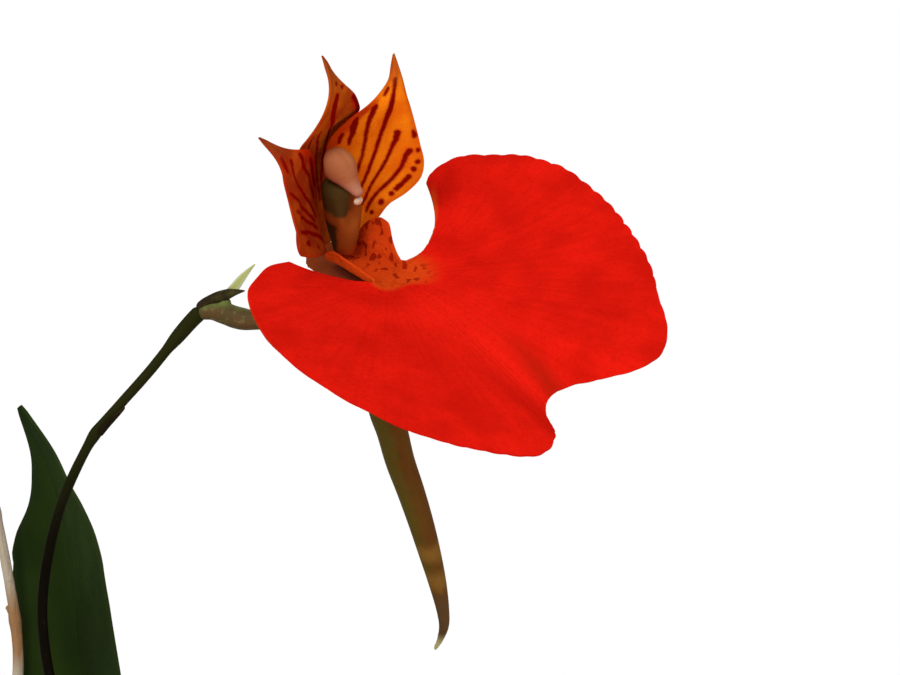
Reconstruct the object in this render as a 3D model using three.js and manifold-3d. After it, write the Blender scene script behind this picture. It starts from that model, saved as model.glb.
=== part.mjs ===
// A flowering orchid with a notched scarlet lip and a long spur, growing in a plain terracotta pot.
// Millimetres, +Z up. The origin is the centre of the pot's foot, and the flower faces -Y.
import * as THREE from 'three';
import { mergeVertices } from 'three/addons/utils/BufferGeometryUtils.js';
import Module from 'manifold-3d';

// Driving dimensions
const fitGap = 0.3;
const bladeThickness = 0.6;
const leafThickness = 0.7;

const potHeight = 72;
const potTopRadius = 41;
const potFootRadius = 28;
const potWall = 3.6;
const potFloor = 4.5;
const rimHeight = 16;
const rimStep = 2;
const rimFlare = 1;
const drainRadius = 3.5;
const drainCircle = 14;
const drainCount = 4;
const potSides = 40;

const barkLevel = 61.5;
const barkCrown = 1.5;
const chipCount = 27;
const chipLayoutRadius = 30;
const chipLength = [11, 16];
const chipWidth = [8, 11];
const chipHeight = [3, 5];
const chipInset = 0.7;

const rhizomeRadius = 1.8;
const rhizomeLevel = 63.4;
const rootRadius = 0.9;

const leafHalfWidth = 10;
const flowerBase = new THREE.Vector3(24, -10, 210);
const flowerTilt = THREE.MathUtils.degToRad(37.7);
const flowerTurn = THREE.MathUtils.degToRad(-132.7);

const clay = { color: 0xb5653d, roughness: 0.9 };
const barkBrown = { color: 0x5c3a22, roughness: 0.95 };
const rhizomeBrown = { color: 0x6b5a35, roughness: 0.8 };
const bulbGreen = { color: 0x6f8a3c, roughness: 0.55 };
const sheathStraw = { color: 0xb39a6a, roughness: 0.85 };
const leafGreen = { color: 0x2f4a22, roughness: 0.45 };
const stemPurple = { color: 0x2d2a1c, roughness: 0.6 };
const ovaryOlive = { color: 0x4a4a22, roughness: 0.6 };
const scaleGreen = { color: 0xb9c47a, roughness: 0.6 };
const petalOrange = { color: 0xd86a12, roughness: 0.5 };
const spurOlive = { color: 0x5b3f16, roughness: 0.65 };
const lipScarlet = { color: 0xe01f10, roughness: 0.5 };
const columnOlive = { color: 0x7a5a20, roughness: 0.55 };
const capBeige = { color: 0xd9a58c, roughness: 0.6 };
const rootWhite = { color: 0xc9c4ae, roughness: 0.8 };
const stalkPink = { color: 0xa07a68, roughness: 0.85 };

const library = await Module();
library.setup();

// One seeded generator for every random draw
let seed = 41;
function draw(low, high) {
  seed = (seed * 16807) % 2147483647;
  return low + (high - low) * (seed / 2147483647);
}

function point(x, y, z) {
  return new THREE.Vector3(x, y, z);
}

function spline(points) {
  return new THREE.CatmullRomCurve3(points.map((p) => point(...p)), false, 'centripetal');
}

// Value at t in a short list of [t, value] stops
function between(stops, t) {
  const next = stops.findIndex((stop) => stop[0] >= t);
  if (next === 0) return stops[0][1];
  if (next < 0) return stops[stops.length - 1][1];
  const [t0, v0] = stops[next - 1];
  const [t1, v1] = stops[next];
  return v0 + ((v1 - v0) * (t - t0)) / (t1 - t0);
}

function toGeometry(positions, faces) {
  const geometry = new THREE.BufferGeometry();
  geometry.setAttribute('position', new THREE.Float32BufferAttribute(positions.flatMap((p) => p.toArray()), 3));
  let volume = 0;
  for (const [a, b, c] of faces) {
    volume += positions[a].dot(positions[b].clone().cross(positions[c]));
  }
  const outward = volume < 0 ? faces.map(([a, b, c]) => [a, c, b]) : faces;
  geometry.setIndex(outward.flat());
  geometry.computeVertexNormals();
  return geometry;
}

// Closed skin over a stack of rings with as many points each, with a fan at both ends
function loft(rings) {
  const sides = rings[0].length;
  const positions = rings.flat();
  const faces = [];
  for (let r = 0; r < rings.length - 1; r += 1) {
    for (let i = 0; i < sides; i += 1) {
      const a = r * sides + i;
      const b = r * sides + ((i + 1) % sides);
      faces.push([a, b, b + sides], [a, b + sides, a + sides]);
    }
  }
  for (const [start, ring] of [[0, rings[0]], [(rings.length - 1) * sides, rings[rings.length - 1]]]) {
    const centre = ring.reduce((sum, p) => sum.add(p), point(0, 0, 0)).divideScalar(sides);
    positions.push(centre);
    for (let i = 0; i < sides; i += 1) {
      const a = start + i;
      const b = start + ((i + 1) % sides);
      faces.push(start === 0 ? [b, a, positions.length - 1] : [a, b, positions.length - 1]);
    }
  }
  return toGeometry(positions, faces);
}

// Tapered stem along a smooth route; radiusAt and flatness are read at 0 to 1 along it
function stalk(route, radiusAt, steps, sides, flatness = 1, grow = 0) {
  const curve = spline(route);
  const frames = curve.computeFrenetFrames(steps, false);
  const rings = [];
  for (let k = 0; k <= steps; k += 1) {
    const centre = curve.getPointAt(k / steps);
    const beyond = (k === steps ? grow : 0) - (k === 0 ? grow : 0);
    centre.addScaledVector(frames.tangents[k], beyond);
    const radius = between(radiusAt, k / steps) + grow;
    rings.push(Array.from({ length: sides }, (_, i) => {
      const angle = (2 * Math.PI * i) / sides;
      return centre.clone()
        .addScaledVector(frames.normals[k], radius * Math.cos(angle))
        .addScaledVector(frames.binormals[k], radius * flatness * Math.sin(angle));
    }));
  }
  return loft(rings);
}

// Thin blade of even thickness about a middle surface, with both faces split alike
function blade(surface, rows, columns, thickness) {
  const middle = [];
  for (let r = 0; r <= rows; r += 1) {
    for (let c = 0; c <= columns; c += 1) {
      middle.push(surface(r / rows, c / columns));
    }
  }
  const wide = columns + 1;
  const at = (r, c) => middle[THREE.MathUtils.clamp(r, 0, rows) * wide + THREE.MathUtils.clamp(c, 0, columns)];
  const front = [];
  const back = [];
  for (let r = 0; r <= rows; r += 1) {
    for (let c = 0; c <= columns; c += 1) {
      const along = at(r + 1, c).clone().sub(at(r - 1, c));
      const across = at(r, c + 1).clone().sub(at(r, c - 1));
      const normal = along.cross(across).normalize();
      front.push(at(r, c).clone().addScaledVector(normal, thickness / 2));
      back.push(at(r, c).clone().addScaledVector(normal, -thickness / 2));
    }
  }
  const behind = front.length;
  const faces = [];
  for (let r = 0; r < rows; r += 1) {
    for (let c = 0; c < columns; c += 1) {
      const a = r * wide + c;
      const b = a + 1;
      const d = a + wide;
      const e = d + 1;
      faces.push([a, b, e], [a, e, d], [a + behind, e + behind, b + behind], [a + behind, d + behind, e + behind]);
    }
  }
  const rim = [];
  for (let c = 0; c < columns; c += 1) rim.push(c);
  for (let r = 0; r < rows; r += 1) rim.push(r * wide + columns);
  for (let c = columns; c > 0; c -= 1) rim.push(rows * wide + c);
  for (let r = rows; r > 0; r -= 1) rim.push(r * wide);
  rim.forEach((a, i) => {
    const b = rim[(i + 1) % rim.length];
    faces.push([b, a, a + behind], [b, a + behind, b + behind]);
  });
  return toGeometry([...front, ...back], faces);
}

function toSolid(geometry) {
  const bare = geometry.clone();
  bare.deleteAttribute('normal');
  bare.deleteAttribute('uv');
  const joined = mergeVertices(bare, 1e-4);
  return new library.Manifold(new library.Mesh({
    numProp: 3,
    vertProperties: joined.attributes.position.array,
    triVerts: Uint32Array.from(joined.index.array),
  }));
}

function fromSolid(solid) {
  const mesh = solid.getMesh();
  const geometry = new THREE.BufferGeometry();
  geometry.setAttribute('position', new THREE.BufferAttribute(Float32Array.from(mesh.vertProperties), 3));
  geometry.setIndex(Array.from(mesh.triVerts));
  geometry.computeVertexNormals();
  return geometry;
}

// The largest body alone, without loose scraps or sealed hollows
function largest(solid) {
  return solid.decompose().reduce((best, body) => (body.volume() > best.volume() ? body : best));
}

function fuse(geometries) {
  return fromSolid(largest(geometries.map(toSolid).reduce((whole, next) => whole.add(next))));
}

function trim(geometry, limit) {
  return fromSolid(largest(toSolid(geometry).intersect(toSolid(limit))));
}

function carve(geometry, tools) {
  return fromSolid(largest(tools.map(toSolid).reduce((whole, tool) => whole.subtract(tool), toSolid(geometry))));
}

const plant = new THREE.Group();
const flower = new THREE.Group();
flower.position.copy(flowerBase);
flower.rotation.set(flowerTilt, 0, flowerTurn);
plant.add(flower);

function place(parent, name, geometry, look) {
  const mesh = new THREE.Mesh(geometry, new THREE.MeshStandardMaterial({ ...look, metalness: 0 }));
  mesh.name = name;
  parent.add(mesh);
}

// Pot: a flared wall with a rim band, a floor and drain holes round a solid middle
const potInnerTop = potTopRadius - potWall;
const potInnerFoot = potFootRadius - potWall;

function potInner(z) {
  return potInnerFoot + ((potInnerTop - potInnerFoot) * (z - potFloor)) / (potHeight - potFloor);
}

function makePot() {
  const bandFoot = potHeight - rimHeight;
  const outline = [
    [0, 0], [potFootRadius, 0], [potTopRadius - rimFlare - rimStep, bandFoot], [potTopRadius - rimFlare, bandFoot],
    [potTopRadius, potHeight], [potInnerTop, potHeight], [potInnerFoot, potFloor], [0, potFloor],
  ];
  const body = new THREE.LatheGeometry(outline.map(([x, y]) => new THREE.Vector2(x, y)), potSides);
  body.rotateX(Math.PI / 2);
  const drains = Array.from({ length: drainCount }, (_, i) => {
    const angle = (2 * Math.PI * (i + 0.5)) / drainCount;
    const drain = new THREE.CylinderGeometry(drainRadius, drainRadius, potFloor * 3, 12);
    drain.rotateX(Math.PI / 2);
    drain.translate(drainCircle * Math.cos(angle), drainCircle * Math.sin(angle), 0);
    return drain;
  });
  return carve(body, drains);
}

// Pseudobulbs in a row along the rhizome, oldest last, each with one leaf at its apex
const bulbs = [
  { at: [9, 15], height: 30, radius: 4.3, turn: 0.5 },
  { at: [0, 9.5], height: 28, radius: 4, turn: 0.6 },
  { at: [-8.6, 3.6], height: 27, radius: 4, turn: 0.7 },
  { at: [-17, -2.6], height: 25, radius: 3.9, turn: 0.6 },
  { at: [-25.5, -8.4], height: 23, radius: 3.7, turn: 0.5 },
  { at: [19.5, 9.5], height: 24, radius: 3.8, turn: -0.5 },
];
const bulbFoot = rhizomeLevel + rhizomeRadius + fitGap;
const bulbShape = [[0, 0.5], [0.08, 0.72], [0.25, 0.95], [0.45, 1], [0.65, 0.9], [0.85, 0.64], [0.95, 0.44], [1, 0.34]];
const bulbFlatness = 0.78;
const bulbFurrows = 6;
const furrowDepth = 0.05;

function bulbRing(bulb, t, grow) {
  const radius = between(bulbShape, t) * bulb.radius;
  const sides = 12;
  return Array.from({ length: sides }, (_, i) => {
    const angle = (2 * Math.PI * i) / sides;
    const furrow = grow > 0 ? 1 : 1 + furrowDepth * Math.cos(bulbFurrows * angle);
    const wide = (radius * furrow + grow) * Math.cos(angle);
    const deep = (radius * furrow * bulbFlatness + grow) * Math.sin(angle);
    return point(
      bulb.at[0] + wide * Math.cos(bulb.turn) - deep * Math.sin(bulb.turn),
      bulb.at[1] + wide * Math.sin(bulb.turn) + deep * Math.cos(bulb.turn),
      bulbFoot + t * bulb.height,
    );
  });
}

function makeBulb(bulb) {
  const levels = [0, 0.06, 0.18, 0.34, 0.52, 0.7, 0.85, 0.95, 1];
  return loft(levels.map((t) => bulbRing(bulb, t, 0)));
}

// Papery sheath round the lower half of a pseudobulb, open on one side and drawn to a point
function makeSheath(bulb) {
  const reach = 0.62;
  const clear = fitGap + bladeThickness / 2 + furrowDepth * bulb.radius;
  const surface = (u, v) => {
    const t = 0.03 + (reach - 0.03) * u * (1 - 0.45 * (2 * v - 1) ** 2);
    const ring = between(bulbShape, t) * bulb.radius;
    const angle = bulb.turn + Math.PI + (v - 0.5) * THREE.MathUtils.degToRad(300);
    const wide = (ring + clear) * Math.cos(angle - bulb.turn);
    const deep = (ring * bulbFlatness + clear) * Math.sin(angle - bulb.turn);
    return point(
      bulb.at[0] + wide * Math.cos(bulb.turn) - deep * Math.sin(bulb.turn),
      bulb.at[1] + wide * Math.sin(bulb.turn) + deep * Math.cos(bulb.turn),
      bulbFoot + t * bulb.height,
    );
  };
  return blade(surface, 4, 9, bladeThickness);
}

// Leaves: middle line from the pseudobulb's apex to the tip, and the direction that the blade is wide in.
// The first is a little wider on each side than the common outline, as a share of its half width
const leaves = [
  {
    line: [[8.6, 15, 108], [7.8, 14.7, 120], [5.9, 14.4, 134], [3.1, 14.2, 148], [0.6, 14.2, 160], [-1.4, 14.4, 171.5],
      [-2.3, 15.2, 178.6], [-3.3, 16, 185.8], [-5.1, 17, 191.8], [-8, 18, 197.1]],
    side: [0.64, -0.77, 0],
    half: leafHalfWidth,
    rows: 22,
    left: [[0.83, 0], [0.85, 0.03], [0.87, 0.13], [0.888, 0.18], [0.91, 0.135], [0.93, 0.08], [0.96, 0.02], [1, 0]],
    right: [[0.5, 0], [0.64, 0.05], [0.735, 0.085], [0.79, 0.05], [0.83, 0]],
  },
  { line: [[-3, 17, 112], [-9, 29, 134], [-17, 42, 149], [-27, 54, 152]], side: [-0.85, -0.5, 0], half: 9, rows: 12 },
  { line: [[-6, -3, 112], [4, -17, 133], [20, -31, 145], [38, -42, 144]], side: [0.64, 0.77, 0], half: 9.4, rows: 12 },
  { line: [[-23, -1, 108], [-36, 1, 127], [-51, 3, 138], [-66, 4, 138]], side: [0.05, -1, 0], half: 8.6, rows: 12 },
  { line: [[-26, -15, 104], [-31, -29, 119], [-37, -44, 126], [-44, -58, 122]], side: [0.9, -0.4, 0], half: 8, rows: 12 },
  { line: [[23, 15, 106], [34, 25, 122], [47, 34, 131], [61, 41, 130]], side: [-0.55, 0.83, 0], half: 8.2, rows: 12 },
];
const leafOutline = [
  [0, 0.2], [0.07, 0.26], [0.14, 0.5], [0.28, 0.86], [0.41, 0.98], [0.52, 1], [0.64, 0.94], [0.735, 0.85],
  [0.79, 0.79], [0.831, 0.79], [0.858, 0.7], [0.886, 0.51], [0.915, 0.3], [0.945, 0.21], [0.975, 0.11], [1, 0.03],
];
const tipCrowding = 1.5;
const leafFold = [[0, 66], [0.1, 44], [0.25, 26], [0.5, 17], [0.8, 15], [1, 10]];

function makeLeaf(bulb, leaf) {
  const foot = [...bulb.at, bulbFoot + bulb.height + fitGap];
  const rise = [bulb.at[0], bulb.at[1], foot[2] + 4];
  const curve = spline([foot, rise, ...leaf.line]);
  const wide = point(...leaf.side).normalize();
  const surface = (share, v) => {
    const u = 1 - (1 - share) ** tipCrowding;
    const tangent = curve.getTangentAt(u);
    const side = wide.clone().addScaledVector(tangent, -wide.dot(tangent)).normalize();
    const up = tangent.clone().cross(side).normalize();
    const spread = v < 0.5 ? leaf.left : leaf.right;
    const wider = spread ? between(spread, u) : 0;
    const x = (2 * v - 1) * leaf.half * (between(leafOutline, u) + wider);
    const fold = THREE.MathUtils.degToRad(between(leafFold, u));
    return curve.getPointAt(u).addScaledVector(side, x * Math.cos(fold)).addScaledVector(up, -Math.abs(x) * Math.sin(fold));
  };
  return blade(surface, leaf.rows, 4, leafThickness);
}

// Stems and roots: routes picked by hand
const rhizomeRoute = [
  [-29.5, -11.5], [-25.5, -8.4], [-17, -2.6], [-8.6, 3.6], [0, 9.5], [9, 15], [15, 14], [19.5, 9.5], [22, 6],
];
const stemRoute = [
  [9.8, 9.4, 58], [9.4, 8.9, 66], [8.6, 8, 74], [8, 7.5, 86], [7.6, 7.4, 100], [6.4, 7.2, 118], [4.4, 6.9, 135],
  [1.6, 6.5, 152], [-1.8, 6, 165], [-4, 5.5, 172.2], [-4.6, 4.8, 177.8], [-4.3, 4.2, 181.6], [-3.5, 3.5, 185.4],
  [-2.4, 2.8, 188.9], [-0.9, 2, 192.2], [0.8, 1.2, 195.1], [3, 0.5, 197.6], [5.8, -0.3, 200.7], [8.1, -1, 203.5],
  [10.1, -1.6, 205.7], [10.8, -1.8, 206.3],
];
const stemRadius = [[0, 0.95], [0.5, 0.6], [0.9, 0.46], [0.965, 0.48], [0.978, 0.66], [1, 0.75]];
const ovaryRoute = [
  [11.75, -2.07, 206.05], [12.8, -2.3, 205.95], [13.8, -2.5, 205.6], [15.2, -2.9, 205.35], [16.9, -3.6, 205.4],
  [18.8, -4.6, 206.1], [21.4, -6.7, 207.9], [23, -8.5, 209.2],
];
const ovaryRadius = [[0, 0.65], [0.1, 0.92], [0.22, 1], [0.35, 0.84], [0.5, 0.8], [0.75, 0.95], [1, 1.1]];
const bractRoute = [
  [11, -2, 207.25], [12.05, -2.45, 207.55], [12.95, -2.85, 207.8], [13.85, -3.2, 207.95], [14.7, -3.5, 208.02],
];
const bractRadius = [[0, 0.3], [0.3, 0.38], [0.6, 0.42], [0.85, 0.24], [1, 0.06]];
const budRoute = [[12.9, -1.4, 207.7], [13.5, -1.3, 208.2], [14.25, -1.1, 209.15], [14.85, -0.9, 209.85], [15.5, -0.7, 210.5]];
const budRadius = [[0, 0.34], [0.25, 0.42], [0.5, 0.36], [0.75, 0.22], [1, 0.08]];
const oldStalkRoute = [
  [-19, 4.5, 58], [-19.4, 5, 68], [-19, 6.5, 90], [-17, 9.5, 112], [-13.8, 13, 134], [-9.9, 15.8, 155],
  [-8, 17, 172.3], [-8.4, 17, 177.3], [-9, 17, 181], [-10.1, 17, 186.6], [-11.9, 17.4, 193], [-14.9, 18, 199.5],
  [-18.9, 18.8, 204],
];
const oldStalkRadius = [[0, 0.85], [0.6, 0.65], [1, 0.35]];
const roots = [
  [[23, 5, 64.5], [27, 1, 67.5], [33, -4, 70.6], [39, -7.5, 74.4], [42.6, -9.4, 71], [43.2, -10.8, 62], [42.4, -11.8, 52]],
  [[11, 20.5, 65.5], [12.5, 23, 68], [15, 25.6, 68.2], [16.5, 26.6, 64], [17, 27, 57]],
  [[-3, 4, 66], [-1, -2, 68.6], [4, -9, 69], [9, -16, 68.8], [13, -21, 64.5], [15, -24, 55]],
  [[-20, -10, 65.5], [-18, -15, 68.4], [-13, -20, 68.6], [-7, -23, 64.6], [-4, -25, 55]],
  [[-30.5, -5.5, 66], [-33.5, -2.5, 69.8], [-36.8, 1.5, 73], [-40, 6, 74.5], [-42.4, 9.5, 71.4], [-42.6, 11.5, 64]],
];
const rhizomeTaper = [[0, rhizomeRadius * 0.7], [0.1, rhizomeRadius], [0.92, rhizomeRadius], [1, rhizomeRadius * 0.6]];
const rootTaper = [[0, rootRadius], [0.85, rootRadius], [1, rootRadius * 0.55]];

function rhizome(grow) {
  const route = rhizomeRoute.map(([x, y]) => [x, y, rhizomeLevel]);
  return stalk(route, rhizomeTaper, 11, 8, 1, grow);
}

function makeStem(grow) {
  return stalk(stemRoute, stemRadius, 44, 7, 1, grow);
}

function makeRoot(route, grow) {
  return stalk(route, rootTaper, 14, 6, 1, grow);
}

function makeOldStalk(grow) {
  return stalk(oldStalkRoute, oldStalkRadius, 26, 6, 1, grow);
}

const stemBractWrap = THREE.MathUtils.degToRad(150);

// Small bract hugging one side of the stem, from one share of its length to another
function makeStemBract(from, to, facing) {
  const curve = spline(stemRoute);
  const surface = (u, v) => {
    const t = from + (to - from) * u;
    const tangent = curve.getTangentAt(t);
    const out = point(...facing).addScaledVector(tangent, -point(...facing).dot(tangent)).normalize();
    const side = tangent.clone().cross(out);
    const angle = (v - 0.5) * stemBractWrap * (1 - 0.85 * u * u);
    const radius = between(stemRadius, t) + fitGap + bladeThickness / 2 + 0.2 * u * u;
    return curve.getPointAt(t).addScaledVector(out, radius * Math.cos(angle)).addScaledVector(side, radius * Math.sin(angle));
  };
  return blade(surface, 4, 4, bladeThickness);
}

// Bark: a plug that fills the pot, covered with fused chips on a sunflower layout, and holes for all that stands in it
function makeBark() {
  const inner = (z) => potInner(z) - fitGap * 1.2;
  const outline = [
    [0, potFloor + fitGap], [inner(potFloor + fitGap), potFloor + fitGap], [inner(barkLevel), barkLevel],
    [chipLayoutRadius * 0.6, barkLevel + barkCrown * 0.7], [0, barkLevel + barkCrown],
  ];
  const plug = new THREE.LatheGeometry(outline.map(([x, y]) => new THREE.Vector2(x, y)), potSides);
  plug.rotateX(Math.PI / 2);
  const turnStep = Math.PI * (3 - Math.sqrt(5));
  const chips = Array.from({ length: chipCount }, (_, i) => {
    const reach = chipLayoutRadius * Math.sqrt((i + 0.5) / chipCount);
    const chip = new THREE.BoxGeometry(draw(...chipLength), draw(...chipWidth), draw(...chipHeight));
    const corners = chip.attributes.position;
    const spots = new Map();
    for (let k = 0; k < corners.count; k += 1) {
      const corner = point().fromBufferAttribute(corners, k);
      const key = corner.toArray().map(Math.sign).join();
      if (!spots.has(key)) spots.set(key, corner.clone().multiplyScalar(draw(0.75, 1)));
      corners.setXYZ(k, ...spots.get(key).toArray());
    }
    chip.rotateX(draw(-0.35, 0.35));
    chip.rotateY(draw(-0.35, 0.35));
    chip.rotateZ(draw(0, Math.PI));
    chip.translate(reach * Math.cos(i * turnStep), reach * Math.sin(i * turnStep), barkLevel + barkCrown + draw(-0.6, 0.9));
    return chip;
  });
  const holes = bulbs.map((bulb) => {
    const radius = bulb.radius + fitGap * 2 + bladeThickness + furrowDepth * bulb.radius;
    const hole = new THREE.CylinderGeometry(radius, radius, bulb.height, 12);
    hole.rotateX(Math.PI / 2);
    hole.translate(bulb.at[0], bulb.at[1], bulbFoot - fitGap + bulb.height / 2);
    return hole;
  });
  holes.push(rhizome(fitGap), makeStem(fitGap), makeOldStalk(fitGap));
  roots.forEach((route) => holes.push(makeRoot(route, fitGap)));
  const mouth = new THREE.CylinderGeometry(inner(potHeight) - chipInset, inner(0) - chipInset, potHeight, potSides / 2);
  mouth.rotateX(Math.PI / 2);
  mouth.translate(0, 0, potHeight / 2);
  return carve(fuse([plug, ...chips.map((chip) => trim(chip, mouth))]), holes);
}

// Flower, in its own frame: x towards the near lobe, y out along the lip, z up along the column.
// Petals: the inner margin beside the column and the outer one, from the foot to the drawn-out tip.
// Each has its own foot and shoulder, and the near one is a little narrower, and lower above a given level
const petalInner = [[1.5, -1, 2], [1.35, -1.7, 4.3], [0.95, -2.4, 6.5], [0.6, -2.85, 9], [0.62, -2.9, 10.8]];
const petalOuter = [
  [8.26, 2.1, 8.4], [8.31, 1.55, 10.2], [8.3, 0.92, 12.18], [8.25, 0.4, 13.73], [8.15, 0.1, 14.73], [8.3, -0.5, 16],
  [8.88, -2.1, 17.92],
];
const petalFacing = [-0.35, 0.9, 0.27];
const petalHollow = 0.9;
const nearPetal = {
  mirror: 1,
  narrow: 0.935,
  low: 0.95,
  above: 12,
  foot: [[2.6, -0.6, 2.4], [4, 0.1, 3.35], [5.6, 1, 4.6], [7.1, 1.7, 5.75], [8.2, 2.1, 6.8]],
  shoulder: [[1.4, -2.6, 12.2], [2.8, -1.55, 13.73], [4.4, -0.85, 14.91], [5.9, -0.95, 15.69], [7.05, -1.1, 16.46],
    [7.9, -1.6, 17.1], [8.72, -2.1, 17.87]],
};
const farPetal = {
  mirror: -1,
  narrow: 1,
  low: 1,
  above: 12,
  foot: [[2.6, -0.6, 2.4], [4, 0.2, 3.4], [5.1, 0.7, 4.7], [6.6, 1.4, 5.5], [7.8, 2.1, 6.9]],
  shoulder: [[1.2, -2.65, 12.5], [2.5, -1.65, 14.2], [4.15, -0.9, 15.25], [5.8, -0.95, 15.8], [7.05, -1.1, 16.46],
    [7.9, -1.6, 17.1], [8.72, -2.1, 17.87]],
};

function makePetal(petal) {
  const inner = spline([...petalInner, ...petal.shoulder]);
  const outer = spline([...petal.foot, ...petalOuter]);
  const surface = (u, v) => {
    const depth = petalHollow * 4 * v * (1 - v) * Math.sin(Math.PI * Math.min(1, u * 1.3));
    const spot = inner.getPointAt(u).lerp(outer.getPointAt(u), v).addScaledVector(point(...petalFacing), -depth);
    spot.x *= petal.mirror * petal.narrow;
    spot.z -= (1 - petal.low) * Math.max(0, spot.z - petal.above);
    return spot;
  };
  return blade(surface, 16, 6, bladeThickness);
}

// Dorsal sepal between its two margins: a narrow foot, a broad shoulder that leans forward and a drawn-out tip
const dorsalRight = [
  [-0.8, -2.4, 1.5], [-1.6, -3.1, 4.5], [-2.7, -3.6, 8], [-3.6, -3.6, 10], [-4.4, -3.3, 12], [-4.5, -2.9, 13],
  [-4.26, -2.03, 14.25], [-3.53, -1.48, 15.75], [-2.6, -1.08, 17.3], [-1.62, -1.18, 18.6], [-0.93, -1.53, 19.65],
  [-0.54, -1.83, 20.5], [-0.45, -2.13, 21.1], [-0.33, -2.6, 21.66],
];
const dorsalLeft = [
  [0.8, -2.4, 1.5], [1.5, -3, 4.5], [2.4, -3.4, 8], [2.9, -3.3, 10], [2.8, -3, 12], [2.65, -2.7, 13.2],
  [2.55, -2.03, 14.3], [2.35, -1.4, 15.4], [2.3, -0.95, 16.2], [1.93, -0.55, 17.3], [1.35, -0.48, 18.4],
  [0.87, -0.68, 19.15], [0.35, -1.18, 20.1], [0.03, -1.83, 20.9], [-0.22, -2.6, 21.7],
];
const dorsalHollow = 0.35;

function makeDorsal() {
  const right = spline(dorsalRight);
  const left = spline(dorsalLeft);
  const surface = (u, v) => {
    const spot = right.getPointAt(u).lerp(left.getPointAt(u), v);
    spot.y -= dorsalHollow * 4 * v * (1 - v) * Math.sin(Math.PI * u);
    return spot;
  };
  return blade(surface, 18, 6, bladeThickness);
}

// Joined lower sepals: a shallow boat under the lip's claw, drawn out below into one long hooked spur
const boatStations = [
  { y: -3.9, half: 0.7, top: 0.45, bottom: 0 },
  { y: -3.2, half: 1.9, top: 0.45, bottom: -0.06 },
  { y: -2.2, half: 2.6, top: 0.45, bottom: -0.12 },
  { y: -0.6, half: 2.7, top: 0.45, bottom: -0.12 },
  { y: 0.8, half: 2.6, top: 0.45, bottom: -0.6 },
  { y: 2.4, half: 2.2, top: 0.45, bottom: -1 },
  { y: 3.8, half: 1.5, top: 0.48, bottom: -0.7 },
  { y: 5, half: 0.4, top: 0.6, bottom: 0.1 },
];
const spurRoute = [
  [0, 2.3, 0.1], [0, 2.5, -1.8], [0, 3, -5], [0, 4, -10], [0, 4.8, -13.8], [0, 5.6, -15.6], [0, 6.6, -18.7],
  [0, 7.9, -21.5], [0, 9.1, -24.4], [0, 10.2, -27.4], [0, 11.2, -30.5], [0, 11.95, -33.7], [0, 12.1, -35.5],
  [0, 11.6, -37.6], [0, 10.9, -39.3],
];
const spurRadius = [
  [0, 1.95], [0.06, 1.9], [0.13, 1.8], [0.25, 1.6], [0.36, 1.48], [0.48, 1.36], [0.58, 1.24], [0.68, 1.1], [0.78, 0.86],
  [0.86, 0.62], [0.9, 0.5], [0.95, 0.34], [1, 0.2],
];

function makeSpur() {
  const sides = 14;
  const boat = loft(boatStations.map((station) => Array.from({ length: sides }, (_, i) => {
    const angle = (2 * Math.PI * i) / sides;
    const lift = Math.sin(angle);
    const z = lift > 0 ? station.top : station.top + (station.top - station.bottom) * lift;
    const keel = lift > 0 ? -0.12 * (1 - Math.abs(Math.cos(angle))) : 0;
    return point(station.half * Math.cos(angle), station.y, z + keel);
  })));
  return fuse([boat, stalk(spurRoute, spurRadius, 26, 10)]);
}

// Lip: one sheet from the channelled claw out to a broad two-lobed blade with a notch at the end.
// Points round the blade's margin, from the corner behind the near lobe to the corner behind the far lobe
const lipMargin = [
  [4.6, -2.5], [6.4, -3.2], [8.2, -2.8], [10.6, -1.7], [13.2, 1.5], [15.2, 5.2], [16.3, 8.8], [16.9, 13.2],
  [16.8, 16.4], [16.3, 20], [15.4, 23.2], [13.8, 26.1], [12.5, 27.6], [11.3, 29.1], [9.5, 30.8], [7.4, 31.1], [5.2, 29.9],
  [2.6, 27.1], [0.8, 24.9], [-0.7, 24.2], [-2.2, 24.9], [-4.1, 27], [-6.3, 29.2], [-8.6, 29.8], [-10.6, 29],
  [-12.3, 27.3], [-13.5, 25.5], [-15.4, 23.2], [-17.1, 20.2], [-18.6, 16.6], [-19.6, 12.9], [-20.2, 9.6],
  [-20.1, 6.5], [-19.1, 3.4], [-17.6, 1], [-16.1, -0.9], [-14.6, -1.6], [-13.1, -1.65], [-11.9, -1.1],
];
const clawRear = -0.6;
const clawFront = 5.4;
const clawHalf = 1.75;
const clawFloor = [[-0.6, 1.1], [3.6, 1.1], [5.4, 1.45]];
const nearWall = [[-0.6, 1.2], [0.1, 1.6], [0.5, 2.4], [0.9, 2.9], [1.6, 2.85], [2.8, 2.7], [4.2, 2.5], [5.4, 2.3]];
const farWall = [[-0.6, 1.3], [-0.1, 1.9], [0.3, 3.2], [0.7, 4.3], [1.4, 5], [2.4, 5.5], [3.2, 5.4], [4, 3.9], [4.8, 2.9], [5.4, 2.5]];
const nearWallPower = 1.2;
const farWallPower = 3;
const auricleFlare = 0.2;
const clawShare = 0.34;
const farBow = 4.3;
const nearBow = 0.8;
const sag = { depth: 4.4, start: 9, length: 18, power: 1.6, width: 3.6 };
const lift = 0.006;
const arch = 0.003;

function lipHeight(x, y) {
  const crease = sag.depth * Math.max(0, (y - sag.start) / sag.length) ** sag.power * Math.exp(-((x / sag.width) ** 2));
  return 2 + lift * x * x - crease - arch * (y - 8) ** 2;
}

function clawPoint(v, y) {
  const depth = (1 - Math.sin(Math.PI * v)) ** (v < 0.5 ? nearWallPower : farWallPower);
  const floor = between(clawFloor, y);
  const top = between(v < 0.5 ? nearWall : farWall, y);
  const z = floor + (top - floor) * depth;
  const half = clawHalf + auricleFlare * Math.max(0, z - 2.6);
  return point(half * Math.cos(Math.PI * v), y, z);
}

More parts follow.
